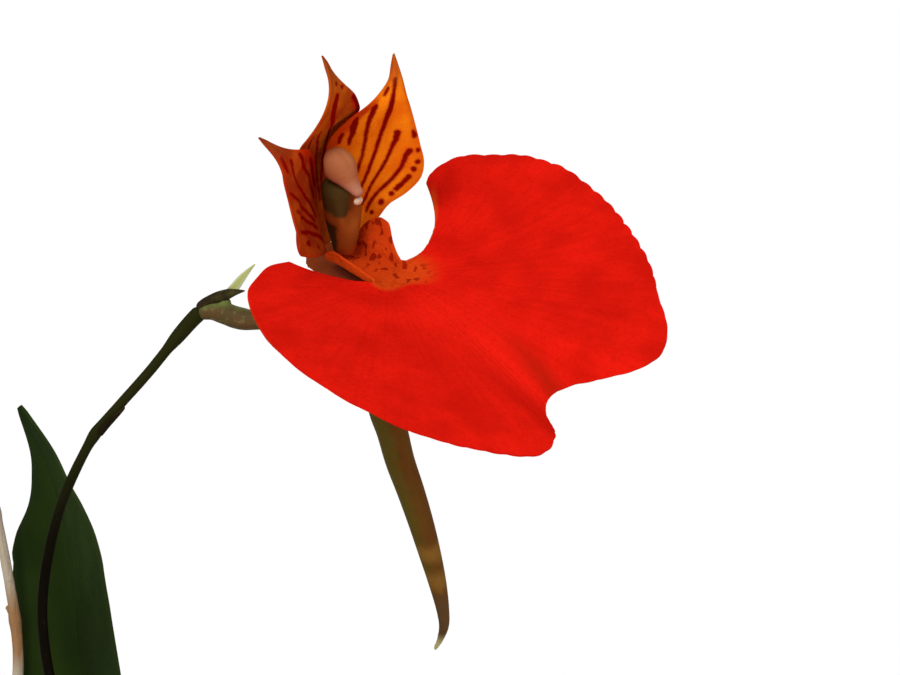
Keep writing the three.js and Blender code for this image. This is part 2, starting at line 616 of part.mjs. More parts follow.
function makeLip() {
  const margin = new THREE.CatmullRomCurve3(lipMargin.map(([x, y]) => point(x, y, 0)), false, 'centripetal');
  const surface = (u, v) => {
    if (u <= clawShare) {
      return clawPoint(v, clawRear + ((clawFront - clawRear) * u) / clawShare);
    }
    const t = (u - clawShare) / (1 - clawShare);
    const start = clawPoint(v, clawFront);
    const end = margin.getPointAt(v);
    const root = point(start.x * 1.15, clawFront + 0.9 * Math.sin(Math.PI * v) + 0.2, 0);
    const bow = v < 0.5 ? nearBow * Math.max(0, 1 - v / 0.06) : farBow * Math.max(0, (v - 0.53) / 0.47) ** 1.5;
    const knee = root.clone().add(end).multiplyScalar(0.5);
    knee.x += v < 0.5 ? bow : 0;
    knee.y += v < 0.5 ? 0 : bow;
    const spot = root.multiplyScalar((1 - t) ** 2).addScaledVector(knee, 2 * t * (1 - t)).addScaledVector(end, t * t);
    const blend = THREE.MathUtils.smoothstep(t, 0, 0.25);
    spot.z = start.z * (1 - blend) + lipHeight(spot.x, spot.y) * blend;
    return spot;
  };
  return blade(surface, 12, 46, bladeThickness);
}

// Column with a rounded head, and the anther cap that covers it and ends in a beak
const columnLevels = [
  { z: 1.75, y: -0.1, wide: 0.8, deep: 1 }, { z: 3, y: -0.15, wide: 1, deep: 1.3 }, { z: 4.2, y: -0.15, wide: 1.2, deep: 1.6 },
  { z: 5.2, y: -0.2, wide: 1.35, deep: 1.7 }, { z: 7, y: -0.35, wide: 1.55, deep: 1.7 }, { z: 8.4, y: -0.55, wide: 1.6, deep: 1.65 },
  { z: 9.2, y: -0.6, wide: 1.3, deep: 1.4 }, { z: 9.6, y: -0.6, wide: 0.75, deep: 0.75 },
];
const columnSides = 14;
const capRoute = [[-1.85, 11], [-1.2, 11.15], [-0.5, 11], [0.2, 10.5], [0.9, 9.85], [1.55, 9.4], [2.15, 9.1]];
const capRings = [
  { share: 0, wide: 0.4, tall: 0.5 }, { share: 0.05, wide: 0.85, tall: 1.05 }, { share: 0.12, wide: 1.15, tall: 1.4 },
  { share: 0.22, wide: 1.4, tall: 1.65 }, { share: 0.34, wide: 1.42, tall: 1.6 }, { share: 0.46, wide: 1.3, tall: 1.35 },
  { share: 0.58, wide: 1.05, tall: 1 }, { share: 0.7, wide: 0.8, tall: 0.72 }, { share: 0.82, wide: 0.6, tall: 0.52 },
  { share: 0.93, wide: 0.46, tall: 0.4 }, { share: 1, wide: 0.3, tall: 0.25 },
];
const capSides = 14;

function makeColumn(grow) {
  return loft(columnLevels.map(({ z, y, wide, deep }, k) => Array.from({ length: columnSides }, (_, i) => {
    const angle = (2 * Math.PI * i) / columnSides;
    const end = k === 0 ? -grow : 0;
    const height = k === columnLevels.length - 1 ? grow : end;
    return point((wide + grow) * Math.cos(angle), y + (deep + grow) * Math.sin(angle), z + height);
  })));
}

function makeCap() {
  const curve = spline(capRoute.map(([y, z]) => [0, y, z]));
  const hood = loft(capRings.map(({ share, wide, tall }) => {
    const up = point(1, 0, 0).cross(curve.getTangentAt(share)).normalize();
    return Array.from({ length: capSides }, (_, i) => {
      const angle = (2 * Math.PI * i) / capSides;
      return curve.getPointAt(share).addScaledVector(point(1, 0, 0), wide * Math.cos(angle))
        .addScaledVector(up, tall * Math.sin(angle));
    });
  }));
  return carve(hood, [makeColumn(fitGap)]);
}

place(plant, 'pot', makePot(), clay);
place(plant, 'potting_bark', makeBark(), barkBrown);
place(plant, 'rhizome', rhizome(0), rhizomeBrown);
bulbs.forEach((bulb, i) => {
  place(plant, `pseudobulb_${i + 1}`, makeBulb(bulb), bulbGreen);
  place(plant, `sheath_${i + 1}`, makeSheath(bulb), sheathStraw);
  place(plant, `leaf_${i + 1}`, makeLeaf(bulb, leaves[i]), leafGreen);
});
roots.forEach((route, i) => place(plant, `root_${i + 1}`, makeRoot(route, 0), rootWhite));
place(plant, 'flower_stem', makeStem(0), stemPurple);
[[0.33, 0.365, [1, 0, 0]], [0.62, 0.65, [-1, 0, 0]], [0.901, 0.924, [0.7, -0.5, -0.6]]].forEach(([from, to, facing], i) => {
  place(plant, `stem_bract_${i + 1}`, makeStemBract(from, to, facing), sheathStraw);
});
place(plant, 'pedicel_ovary', stalk(ovaryRoute, ovaryRadius, 12, 9), ovaryOlive);
place(plant, 'floral_bract', stalk(bractRoute, bractRadius, 8, 8), ovaryOlive);
place(plant, 'bud_scale', stalk(budRoute, budRadius, 7, 6, 0.8), scaleGreen);
place(plant, 'spent_stalk', makeOldStalk(0), stalkPink);
place(flower, 'dorsal_sepal', makeDorsal(), petalOrange);
place(flower, 'petal_near', makePetal(nearPetal), petalOrange);
place(flower, 'petal_far', makePetal(farPetal), petalOrange);
place(flower, 'synsepal_spur', makeSpur(), spurOlive);
place(flower, 'lip', makeLip(), lipScarlet);
place(flower, 'column', makeColumn(0), columnOlive);
place(flower, 'anther_cap', makeCap(), capBeige);

export default plant;
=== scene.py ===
import bisect
import math
import random

import bpy
import numpy as np
from mathutils import Matrix, Vector, noise


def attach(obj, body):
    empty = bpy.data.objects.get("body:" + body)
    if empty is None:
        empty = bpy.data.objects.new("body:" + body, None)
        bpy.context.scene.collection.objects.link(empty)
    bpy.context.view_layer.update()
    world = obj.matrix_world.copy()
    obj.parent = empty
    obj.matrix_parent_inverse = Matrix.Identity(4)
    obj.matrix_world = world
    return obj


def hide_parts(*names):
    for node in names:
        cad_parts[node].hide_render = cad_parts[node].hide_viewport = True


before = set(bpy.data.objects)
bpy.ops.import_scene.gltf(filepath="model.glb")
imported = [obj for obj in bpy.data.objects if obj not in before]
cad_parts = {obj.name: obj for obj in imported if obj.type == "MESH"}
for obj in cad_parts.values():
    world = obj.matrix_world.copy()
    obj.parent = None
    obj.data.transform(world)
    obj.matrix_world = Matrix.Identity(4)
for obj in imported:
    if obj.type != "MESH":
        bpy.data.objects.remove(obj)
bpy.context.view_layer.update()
print("frame loaded with", len(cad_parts), "nodes")

mm = 0.001
random.seed(11)


# Lines and values

class Route:  # smooth line through given points, read by its share of the length
    def __init__(self, points):
        stops = [Vector(p) for p in points]
        stops = [2 * stops[0] - stops[1], *stops, 2 * stops[-1] - stops[-2]]
        self.spots = []
        for corners in zip(stops, stops[1:], stops[2:], stops[3:]):
            self.spots += [self.bend(corners, k / 20) for k in range(20)]
        self.spots.append(stops[-2])
        self.lengths = [0.0]
        for a, b in zip(self.spots, self.spots[1:]):
            self.lengths.append(self.lengths[-1] + (b - a).length)

    def bend(self, corners, part):
        a, b, c, d = corners
        times = [0.0]
        for p, q in ((a, b), (b, c), (c, d)):
            times.append(times[-1] + max((q - p).length, 1e-6) ** 0.5)
        t = times[1] + part * (times[2] - times[1])

        def between(p, q, start, end):
            return p.lerp(q, (t - start) / (end - start))

        first = between(a, b, times[0], times[1])
        middle = between(b, c, times[1], times[2])
        last = between(c, d, times[2], times[3])
        early = between(first, middle, times[0], times[2])
        late = between(middle, last, times[1], times[3])
        return between(early, late, times[1], times[2])

    def at(self, share):
        goal = min(max(share, 0), 1) * self.lengths[-1]
        k = min(bisect.bisect_right(self.lengths, goal), len(self.spots) - 1)
        span = self.lengths[k] - self.lengths[k - 1]
        return self.spots[k - 1].lerp(self.spots[k], (goal - self.lengths[k - 1]) / span)

    def heading(self, share):
        return (self.at(share + 0.006) - self.at(share - 0.006)).normalized()

    def sections(self, shares):  # centre, side and up at each share, turned as little as possible
        side = self.heading(shares[0]).orthogonal().normalized()
        found = []
        for share in shares:
            ahead = self.heading(share)
            side = (side - ahead * side.dot(ahead)).normalized()
            found.append((self.at(share), side, ahead.cross(side)))
        return found


def read(stops, t):  # value at t on a smooth line through short (t, value) stops
    if t <= stops[0][0]:
        return stops[0][1]
    if t >= stops[-1][0]:
        return stops[-1][1]
    k = next(i for i, stop in enumerate(stops) if stop[0] > t)

    def rise(i):
        i = min(max(i, 1), len(stops) - 1)
        return (stops[i][1] - stops[i - 1][1]) / (stops[i][0] - stops[i - 1][0])

    def lean(i):
        before, after = rise(i), rise(i + 1)
        return 0 if before * after <= 0 else 2 * before * after / (before + after)

    (start, low), (end, high) = stops[k - 1], stops[k]
    wide = end - start
    s = (t - start) / wide
    curve = (2 * s ** 3 - 3 * s ** 2 + 1) * low + (3 * s ** 2 - 2 * s ** 3) * high
    return curve + wide * ((s ** 3 - 2 * s ** 2 + s) * lean(k - 1) + (s ** 3 - s ** 2) * lean(k))


def smooth(low, high, t):
    s = min(max((t - low) / (high - low), 0), 1)
    return s * s * (3 - 2 * s)


def hump(t, middle, width):
    return math.exp(-((t - middle) / width) ** 2)


def rough(*where):  # soft noise from about -1 to 1
    return noise.noise(Vector(where))


def crowded(share, much):  # draws rows together at both ends
    return share - much * math.sin(2 * math.pi * share) / (2 * math.pi)


def dome(share):  # a half-round end, full from a share of 1 on
    return math.sqrt(max(0, 1 - max(0, 1 - share) ** 2))


# Modelling

def grid(name, rows, columns, place):
    bpy.ops.object.select_all(action="DESELECT")
    bpy.ops.mesh.primitive_grid_add(x_subdivisions=rows, y_subdivisions=columns, size=1)
    piece = bpy.context.object
    piece.name = name
    piece.data.name = name
    shares = [(round(v.co.x + 0.5, 6), round(v.co.y + 0.5, 6)) for v in piece.data.vertices]
    for vertex, (u, v) in zip(piece.data.vertices, shares):
        vertex.co = place(u, v) * mm
    return piece, shares


def note(piece, name, values):  # one number for each vertex, for the materials
    piece.data.attributes.new(name, "FLOAT", "POINT").data.foreach_set("value", values)


def modify(piece, kind, **settings):
    change = piece.modifiers.new(kind.lower(), kind)
    for key, value in settings.items():
        setattr(change, key, value)
    bpy.context.view_layer.objects.active = piece
    bpy.ops.object.modifier_apply(modifier=change.name)


def close(piece):  # merges seams and poles and turns every face outwards
    bpy.context.view_layer.objects.active = piece
    bpy.ops.object.mode_set(mode="EDIT")
    bpy.ops.mesh.select_all(action="SELECT")
    bpy.ops.mesh.remove_doubles(threshold=0.003 * mm)
    bpy.ops.mesh.fill_holes(sides=0)
    bpy.ops.mesh.select_all(action="SELECT")
    bpy.ops.mesh.normals_make_consistent(inside=False)
    bpy.ops.object.mode_set(mode="OBJECT")


def shell(name, rows, columns, place):  # a closed skin
    piece = grid(name, rows, columns, place)[0]
    close(piece)
    return piece


def join(name, pieces):
    bpy.ops.object.select_all(action="DESELECT")
    for piece in pieces:
        piece.select_set(True)
    bpy.context.view_layer.objects.active = pieces[0]
    bpy.ops.object.join()
    pieces[0].name = name
    return pieces[0]


def sheet(name, rows, columns, place, thickness, edge=0.3, notes=None):  # a blade thin at its margins
    piece, shares = grid(name, rows, columns, place)
    for label, values in (notes(piece, shares) if notes else {}).items():
        note(piece, label, values)
    full = piece.vertex_groups.new(name="full")
    for k, (u, v) in enumerate(shares):
        full.add([k], math.sin(math.pi * v) ** 0.5 * min(1, (1 - u) / 0.04), "REPLACE")
    count = len(shares)
    modify(piece, "SOLIDIFY", thickness=thickness * mm, offset=0, vertex_group="full",
           thickness_vertex_group=edge)
    note(piece, "under", [0.0 if k < count else 1.0 for k in range(len(piece.data.vertices))])
    piece.vertex_groups.clear()
    return piece


def tube(name, route, rows, columns, radius):  # a round body along a route, with rounded ends
    line = Route(route)
    shares = [crowded(k / rows, 0.9) for k in range(rows + 1)]
    sections = line.sections(shares)
    length = line.lengths[-1]

    def place(u, v):
        k = round(u * rows)
        centre, side, up = sections[k]
        angle = 2 * math.pi * v
        wide = radius(shares[k], angle)
        wide *= dome(min(shares[k], 1 - shares[k]) * length / max(wide, 0.01))
        return centre + side * wide * math.cos(angle) + up * wide * math.sin(angle)

    return shell(name, rows, columns, place)


def ball(name, rows, columns, form, into):  # longer or flatter as its form says
    wide, deep, tall = form["size"]

    def place(u, v):
        turn = 2 * math.pi * v
        tip = math.pi * (u - 0.5)
        ring = math.cos(tip)
        out = Vector((wide * ring * math.cos(turn), deep * ring * math.sin(turn), tall * math.sin(tip)))
        return into @ (Vector(form["spot"]) + out)

    return shell(name, rows, columns, place)


def fuse(name, pieces, voxel, rounds):  # grown together as one skin
    piece = join(name, pieces)
    modify(piece, "REMESH", mode="VOXEL", voxel_size=voxel * mm, use_smooth_shade=True)
    modify(piece, "SMOOTH", factor=0.5, iterations=rounds)
    return piece


def dress(piece, material, slot, *nodes, angle=50):
    piece.data.materials.clear()
    piece.data.materials.append(material)
    bpy.ops.object.select_all(action="DESELECT")
    piece.select_set(True)
    bpy.context.view_layer.objects.active = piece
    bpy.ops.object.shade_smooth_by_angle(angle=math.radians(angle))
    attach(piece, "root")
    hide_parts(*nodes)
    return piece


# Materials

class Wire:  # a value in a material, so that masks are written as sums
    def __init__(self, finish, socket):
        self.finish = finish
        self.socket = socket

    def __add__(self, other):
        return self.finish.maths("ADD", self, other)

    def __sub__(self, other):
        return self.finish.maths("SUBTRACT", self, other)

    def __rsub__(self, other):
        return self.finish.maths("SUBTRACT", other, self)

    def __mul__(self, other):
        return self.finish.maths("MULTIPLY", self, other)

    __radd__ = __add__
    __rmul__ = __mul__


class Finish:  # a material built up in layers, from the tones of a piece's look
    def __init__(self, name, look, gloss):
        self.look = look
        self.tone = None
        self.material = bpy.data.materials.new(name)
        self.material.use_nodes = True
        self.tree = self.material.node_tree
        self.shader = self.tree.nodes["Principled BSDF"]
        self.shader.inputs["Specular IOR Level"].default_value = gloss
        spot = self.node("ShaderNodeTexCoord", {}, {}, "Object")
        self.spot = self.node("ShaderNodeVectorMath", {"operation": "SCALE"}, {0: spot, "Scale": 1 / mm})

    def node(self, kind, settings, inputs, result=0):
        made = self.tree.nodes.new(kind)
        for name, value in settings.items():
            setattr(made, name, value)
        for name, value in inputs.items():
            self.feed(made.inputs[name], value)
        return Wire(self, made.outputs[result])

    def feed(self, socket, value):
        if isinstance(value, Wire):
            self.tree.links.new(value.socket, socket)
        elif socket.type == "RGBA":
            socket.default_value = (*value, 1)
        else:
            socket.default_value = value

    def maths(self, operation, first, second):
        return self.node("ShaderNodeMath", {"operation": operation}, {0: first, 1: second})

    def scaled(self, size, stretch=(1, 1, 1), spot=None):
        scale = tuple(part / size for part in stretch)
        where = {0: spot or self.spot, 1: scale}
        return self.node("ShaderNodeVectorMath", {"operation": "MULTIPLY"}, where)

    def noise(self, size, detail, stretch=(1, 1, 1), spot=None):
        where = self.scaled(size, stretch, spot)
        return self.node("ShaderNodeTexNoise", {}, {"Vector": where, "Scale": 1.0, "Detail": detail})

    def cells(self, size):
        return self.node("ShaderNodeTexVoronoi", {}, {"Vector": self.scaled(size), "Scale": 1.0})

    def step(self, value, low, high):
        ends = {"Value": value, "From Min": low, "From Max": high}
        return self.node("ShaderNodeMapRange", {"interpolation_type": "SMOOTHSTEP"}, ends)

    def mix(self, share, first, second):
        return self.node("ShaderNodeMix", {"data_type": "RGBA"}, {0: share, 6: first, 7: second}, 2)

    def ground(self, share, first, second):  # the first coat, between two tones
        self.tone = self.mix(share, self.look[first], self.look[second])

    def lay(self, share, colour):
        self.tone = self.mix(share, self.tone, self.look[colour])

    def flecks(self, colour, size, detail, ends, share):
        self.lay(self.step(self.noise(size, detail), *ends) * share, colour)

    def note(self, name):
        return self.node("ShaderNodeAttribute", {"attribute_name": name}, {}, "Fac")

    def own(self):  # the piece's own map, as a vector and its two parts
        where = self.node("ShaderNodeUVMap", {"uv_map": "UVMap"}, {})
        parts = self.node("ShaderNodeSeparateXYZ", {}, {0: where})
        return where, parts, Wire(self, parts.socket.node.outputs[1])

    def height(self):
        return self.node("ShaderNodeSeparateXYZ", {}, {0: self.spot}, 2)

    def done(self, roughness, relief=None):
        self.feed(self.shader.inputs["Base Color"], self.tone)
        self.feed(self.shader.inputs["Roughness"], roughness)
        if relief:
            inputs = {"Strength": 1.0, "Distance": mm, "Height": relief}
            self.feed(self.shader.inputs["Normal"], self.node("ShaderNodeBump", {}, inputs))
        return self.material


# Camera, light and floor

view = {"spot": (33.45, -410, 203.745), "lens": 177.78, "sensor": 36, "nearest": 0.01}
lights = [
    {"name": "key", "spot": (-0.4, -1.15, 0.85), "size": 0.7, "power": 13},
    {"name": "fill", "spot": (1.0, -0.7, 0.4), "size": 0.9, "power": 3},
    {"name": "back", "spot": (0.3, 1.1, 0.9), "size": 0.9, "power": 5},
]
lampAim = (0, 0, 0.16)
room = {"shown": 1.0, "light": 0.5}
floorFinish = {"radius": 1.0, "corners": 128, "tone": (0.83, 0.82, 0.8), "roughness": 0.8}


def makeRoom():  # white to the eye, dimmer as a light
    world = bpy.data.worlds.new("studio")
    world.use_nodes = True
    tree = world.node_tree
    dim = tree.nodes["Background"]
    shown = tree.nodes.new("ShaderNodeBackground")
    for wall, strength in ((dim, room["light"]), (shown, room["shown"])):
        wall.inputs["Color"].default_value = (1, 1, 1, 1)
        wall.inputs["Strength"].default_value = strength
    path = tree.nodes.new("ShaderNodeLightPath")
    either = tree.nodes.new("ShaderNodeMixShader")
    tree.links.new(path.outputs["Is Camera Ray"], either.inputs[0])
    tree.links.new(dim.outputs[0], either.inputs[1])
    tree.links.new(shown.outputs[0], either.inputs[2])
    tree.links.new(either.outputs[0], tree.nodes["World Output"].inputs["Surface"])
    bpy.context.scene.world = world


def makeStage():
    bpy.ops.object.camera_add(location=Vector(view["spot"]) * mm, rotation=(math.radians(90), 0, 0))
    camera = bpy.context.object
    camera.data.lens = view["lens"]
    camera.data.sensor_width = view["sensor"]
    camera.data.clip_start = view["nearest"]
    bpy.context.scene.camera = camera
    makeRoom()
    for lamp in lights:
        spot = Vector(lamp["spot"])
        turn = (Vector(lampAim) - spot).to_track_quat("-Z", "Y").to_euler()
        bpy.ops.object.light_add(type="AREA", location=spot, rotation=turn)
        light = bpy.context.object
        light.name = lamp["name"]
        light.data.size = lamp["size"]
        light.data.energy = lamp["power"]
    bpy.ops.object.select_all(action="DESELECT")
    bpy.ops.mesh.primitive_circle_add(vertices=floorFinish["corners"], radius=floorFinish["radius"],
                                      fill_type="NGON")
    floor = bpy.context.object
    floor.name = "floor"
    paint = Finish("floorPaint", floorFinish, gloss=0.1)
    paint.tone = floorFinish["tone"]
    floor.data.materials.append(paint.done(floorFinish["roughness"]))
    bpy.context.scene.view_settings.view_transform = "Standard"


# Pot

pot = {
    "height": 72, "top": 41, "foot": 28, "wall": 3.6, "floor": 4.5, "rim": 16, "step": 2, "flare": 1,
    "drain": 3.5, "drainCircle": 14, "drains": 4, "columns": 128, "rowStep": 1.6, "edge": 1.1,
    "throwing": 0.1, "unevenness": 0.12,
    "look": {"deep": (0.4, 0.145, 0.065), "light": (0.56, 0.235, 0.115), "grain": (0.3, 0.1, 0.05),
             "damp": (0.2, 0.085, 0.045), "bloom": (0.62, 0.5, 0.4), "salt": (0.66, 0.56, 0.46)},
}


def rounded(corners, radius, steps=5):  # the corners of an outline as short curves
    line = [corners[0]]
    for before, corner, after in zip(corners, corners[1:], corners[2:]):
        before, corner, after = Vector(before), Vector(corner), Vector(after)
        reach = min(radius, (corner - before).length / 2.2, (after - corner).length / 2.2)
        start = corner + (before - corner).normalized() * reach
        end = corner + (after - corner).normalized() * reach
        for k in range(steps + 1):
            t = k / steps
            line.append(tuple(start.lerp(corner, t).lerp(corner.lerp(end, t), t)))
    return line + [corners[-1]]


def divided(line, length):
    spots = [Vector(line[0])]
    for a, b in zip(line, line[1:]):
        a, b = Vector(a), Vector(b)
        count = max(1, math.ceil((b - a).length / length))
        spots += [a.lerp(b, (k + 1) / count) for k in range(count)]
    return spots


def innerWall(z):
    top = pot["top"] - pot["wall"]
    foot = pot["foot"] - pot["wall"]
    return foot + (top - foot) * (z - pot["floor"]) / (pot["height"] - pot["floor"])


def lathe(name, outline, columns, relief):
    def place(u, v):
        spot = outline[round(u * (len(outline) - 1))]
        angle = 2 * math.pi * v
        out = spot.x + relief(spot, angle) * min(1, spot.x / 6)
        return Vector((out * math.cos(angle), out * math.sin(angle), spot.y))

    return shell(name, len(outline) - 1, columns, place)


def makePot():
    band = pot["height"] - pot["rim"]
    body = pot["top"] - pot["flare"]
    corners = [
        (0, 0), (pot["foot"], 0), (body - pot["step"], band), (body, band), (pot["top"], pot["height"]),
        (innerWall(pot["height"]), pot["height"]), (innerWall(pot["floor"]), pot["floor"]), (0, pot["floor"]),
    ]
    outline = divided(rounded(corners, pot["edge"]), pot["rowStep"])

    def relief(spot, angle):
        thrown = pot["throwing"] * math.sin(spot.y * 2.1 + 0.8 * math.sin(angle)) * hump(spot.y, 28, 22)
        return thrown + pot["unevenness"] * rough(spot.y / 9, 3 * math.cos(angle), 3 * math.sin(angle))

    piece = lathe("clayPot", outline, pot["columns"], relief)
    for k in range(pot["drains"]):
        angle = 2 * math.pi * (k + 0.5) / pot["drains"]
        reach = pot["drainCircle"] * mm
        bpy.ops.object.select_all(action="DESELECT")
        spot = (reach * math.cos(angle), reach * math.sin(angle), 0)
        bpy.ops.mesh.primitive_cylinder_add(vertices=28, radius=pot["drain"] * mm,
                                            depth=4 * pot["floor"] * mm, location=spot)
        drill = bpy.context.object
        modify(piece, "BOOLEAN", operation="DIFFERENCE", object=drill)
        bpy.data.objects.remove(drill)
    return dress(piece, clayMaterial(), "terracotta", "pot", angle=42)


def clayMaterial():
    clay = Finish("clay", pot["look"], gloss=0.1)
    high = clay.height()
    bloom = clay.step(clay.noise(13, 5) + clay.noise(2.2, 4) * 0.35, 0.66, 0.9)
    rimSalt = clay.step(high + clay.noise(5, 4) * 9, 70, 77) * 0.55
    damp = clay.step(high + clay.noise(11, 4) * 16, 24, 6) * 0.5
    clay.ground(clay.noise(22, 4), "deep", "light")
    clay.lay(clay.noise(0.7, 2) * 0.35, "grain")
    clay.lay(damp, "damp")
    clay.lay(bloom * 0.6, "bloom")
    clay.lay(rimSalt, "salt")
    lines = clay.noise(0.9, 3, (0.15, 0.15, 2.2))
    return clay.done(0.8 + bloom * 0.12, clay.noise(0.5, 4) * 0.06 + lines * 0.05)


# Potting bark

bark = {
    "bottom": 4.9, "shoulder": 60.4, "crest": [(20, 61.6), (0, 62)], "rowStep": 1.7, "columns": 90,
    "gap": 0.4, "level": 61.5, "crown": 1.5, "crownReach": 34, "drop": (-1.8, 0.7), "chips": 170,
    "patterns": 6, "reach": 31.5, "length": (8, 14), "width": (5, 9), "height": (3, 5.5),
    "tilt": (-0.4, 0.4), "wallGap": 0.5, "rounding": 0.28, "unevenness": 0.16, "shade": (0.2, 1),
    "look": {"dark": (0.055, 0.028, 0.014), "light": (0.24, 0.115, 0.052), "grain": (0.1, 0.046, 0.022),
             "flake": (0.42, 0.27, 0.15)},
}


def makeChip(kind):  # one rough block, with its corners knocked off
    bpy.ops.object.select_all(action="DESELECT")
    bpy.ops.mesh.primitive_cube_add(size=1)
    chip = bpy.context.object
    bpy.ops.object.mode_set(mode="EDIT")
    bpy.ops.mesh.subdivide(number_cuts=2)
    bpy.ops.object.mode_set(mode="OBJECT")
    for vertex in chip.data.vertices:
        spot = vertex.co.copy()
        square = max(abs(part) for part in spot)
        spot = spot.lerp(spot.normalized() * square, bark["rounding"])
        x, y, z = spot * 3 + Vector((9 * kind, 0, 0))
        bump = Vector((rough(x, y, z), rough(y, z, x), rough(z, x + 4, y)))
        vertex.co = spot + bark["unevenness"] * bump
    return chip


def makeBark():
    low, high = bark["bottom"], bark["shoulder"]
    wall = [(innerWall(z) - bark["gap"], z) for z in (low, high)]
    outline = divided([(0, low), *wall, *bark["crest"]], bark["rowStep"])
    plug = lathe("plug", outline, bark["columns"], lambda spot, angle: 0)
    for vertex in plug.data.vertices:
        if vertex.co.z > 60 * mm:
            spot = vertex.co / mm
            vertex.co.z += (0.9 * rough(spot.x / 2.4, spot.y / 2.4, 1) - 0.5) * mm
    note(plug, "shade", [0.0] * len(plug.data.vertices))
    patterns = [makeChip(k) for k in range(bark["patterns"])]
    chips = [plug]
    turnStep = math.pi * (3 - math.sqrt(5))
    for k in range(bark["chips"]):
        reach = bark["reach"] * math.sqrt((k + 0.5) / bark["chips"])
        size = [random.uniform(*bark[side]) for side in ("length", "width", "height")]
        lean, roll = [Matrix.Rotation(random.uniform(*bark["tilt"]), 4, axis) for axis in "XY"]
        turn = Matrix.Rotation(random.uniform(0, math.pi * 2), 4, "Z")
        crown = bark["crown"] * (1 - (reach / bark["crownReach"]) ** 2)
        level = bark["level"] + crown + random.uniform(*bark["drop"])
        spot = (reach * math.cos(k * turnStep), reach * math.sin(k * turnStep), level)
        chip = patterns[k % len(patterns)].copy()
        chip.data = chip.data.copy()
        bpy.context.collection.objects.link(chip)
        move = Matrix.Translation(spot) @ turn @ (lean @ roll) @ Matrix.Diagonal((*size, 1))
        for vertex in chip.data.vertices:
            spot = move @ vertex.co
            out = math.hypot(spot.x, spot.y)
            limit = innerWall(spot.z) - bark["wallGap"]
            if out > limit:
                spot.x *= limit / out
                spot.y *= limit / out
            vertex.co = spot * mm
        note(chip, "shade", [random.uniform(*bark["shade"])] * len(chip.data.vertices))
        chips.append(chip)
    for pattern in patterns:
        bpy.data.objects.remove(pattern)
    return dress(join("pottingBark", chips), barkMaterial(), "bark", "potting_bark", angle=38)


def barkMaterial():
    skin = Finish("barkSkin", bark["look"], gloss=0.05)
    shade = skin.note("shade")
    grain = skin.noise(2.4, 5, (1, 1, 2.6))
    skin.ground(shade, "dark", "light")
    skin.lay(skin.step(grain, 0.42, 0.66) * 0.6, "grain")
    skin.lay(skin.step(skin.noise(0.8, 3), 0.6, 0.72) * shade * 0.7, "flake")
    return skin.done(0.9, grain * 0.5 + skin.noise(0.5, 3) * 0.12)


# Rhizome, pseudobulbs and sheaths

rhizome = {
    "level": 63.4,
    "route": [(-29.5, -11.5), (-25.5, -8.4), (-17, -2.6), (-8.6, 3.6), (0, 9.5), (9, 15), (15, 14),
              (19.5, 9.5), (22, 6)],
    "taper": [(0, 1.26), (0.1, 1.8), (0.92, 1.8), (1, 1.08)],
    "look": {"bright": (0.19, 0.13, 0.055), "dull": (0.1, 0.075, 0.03), "scar": (0.36, 0.27, 0.15),
             "tip": (0.2, 0.26, 0.07)},
}
bulbs = [
    {"at": (9, 15), "height": 30, "radius": 4.3, "turn": 0.5},
    {"at": (0, 9.5), "height": 28, "radius": 4, "turn": 0.6},
    {"at": (-8.6, 3.6), "height": 27, "radius": 4, "turn": 0.7},
    {"at": (-17, -2.6), "height": 25, "radius": 3.9, "turn": 0.6},
    {"at": (-25.5, -8.4), "height": 23, "radius": 3.7, "turn": 0.5},
    {"at": (19.5, 9.5), "height": 24, "radius": 3.8, "turn": -0.5},
]
bulbForm = {
    "foot": 65.5, "flat": 0.78, "ribs": 6, "ribDepth": 0.05, "footCap": 0.035, "topCap": 0.03,
    "shape": [(0, 0.5), (0.08, 0.72), (0.25, 0.95), (0.45, 1), (0.65, 0.9), (0.85, 0.64), (0.95, 0.44),
              (1, 0.34)],
    "look": {"rib": (0.07, 0.1, 0.03), "flush": (0.16, 0.07, 0.045), "fleck": (0.1, 0.06, 0.03)},
}


def makeRhizome():
    route = [(x, y, rhizome["level"]) for x, y in rhizome["route"]]

    def radius(share, angle):
        ring = 0.1 * abs(math.sin(share * 68)) ** 0.4
        lump = 0.1 * rough(share * 40, 2 * math.cos(angle), 2 * math.sin(angle))
        return read(rhizome["taper"], share) - 0.08 + ring + lump

    piece = tube("rhizomeBody", route, 260, 24, radius)
    skin = Finish("rhizomeSkin", rhizome["look"], gloss=0.12)
    along = skin.own()[1]
    skin.ground(skin.noise(2.5, 4), "bright", "dull")
    skin.flecks("scar", size=0.6, detail=3, ends=(0.5, 0.7), share=0.6)
    skin.lay(skin.step(along, 0.86, 0.97), "tip")
    dress(piece, skin.done(0.75, skin.noise(0.5, 4) * 0.15), "rhizome", "rhizome")


def onBulb(bulb, t, angle, out):  # a spot on a pseudobulb at height share t, some way out from its skin
    ring = read(bulbForm["shape"], t) * bulb["radius"]
    wide = (ring + out) * math.cos(angle)
    deep = (ring * bulbForm["flat"] + out) * math.sin(angle)
    turn = bulb["turn"]
    return Vector((
        bulb["at"][0] + wide * math.cos(turn) - deep * math.sin(turn),
        bulb["at"][1] + wide * math.sin(turn) + deep * math.cos(turn),
        bulbForm["foot"] + t * bulb["height"],
    ))


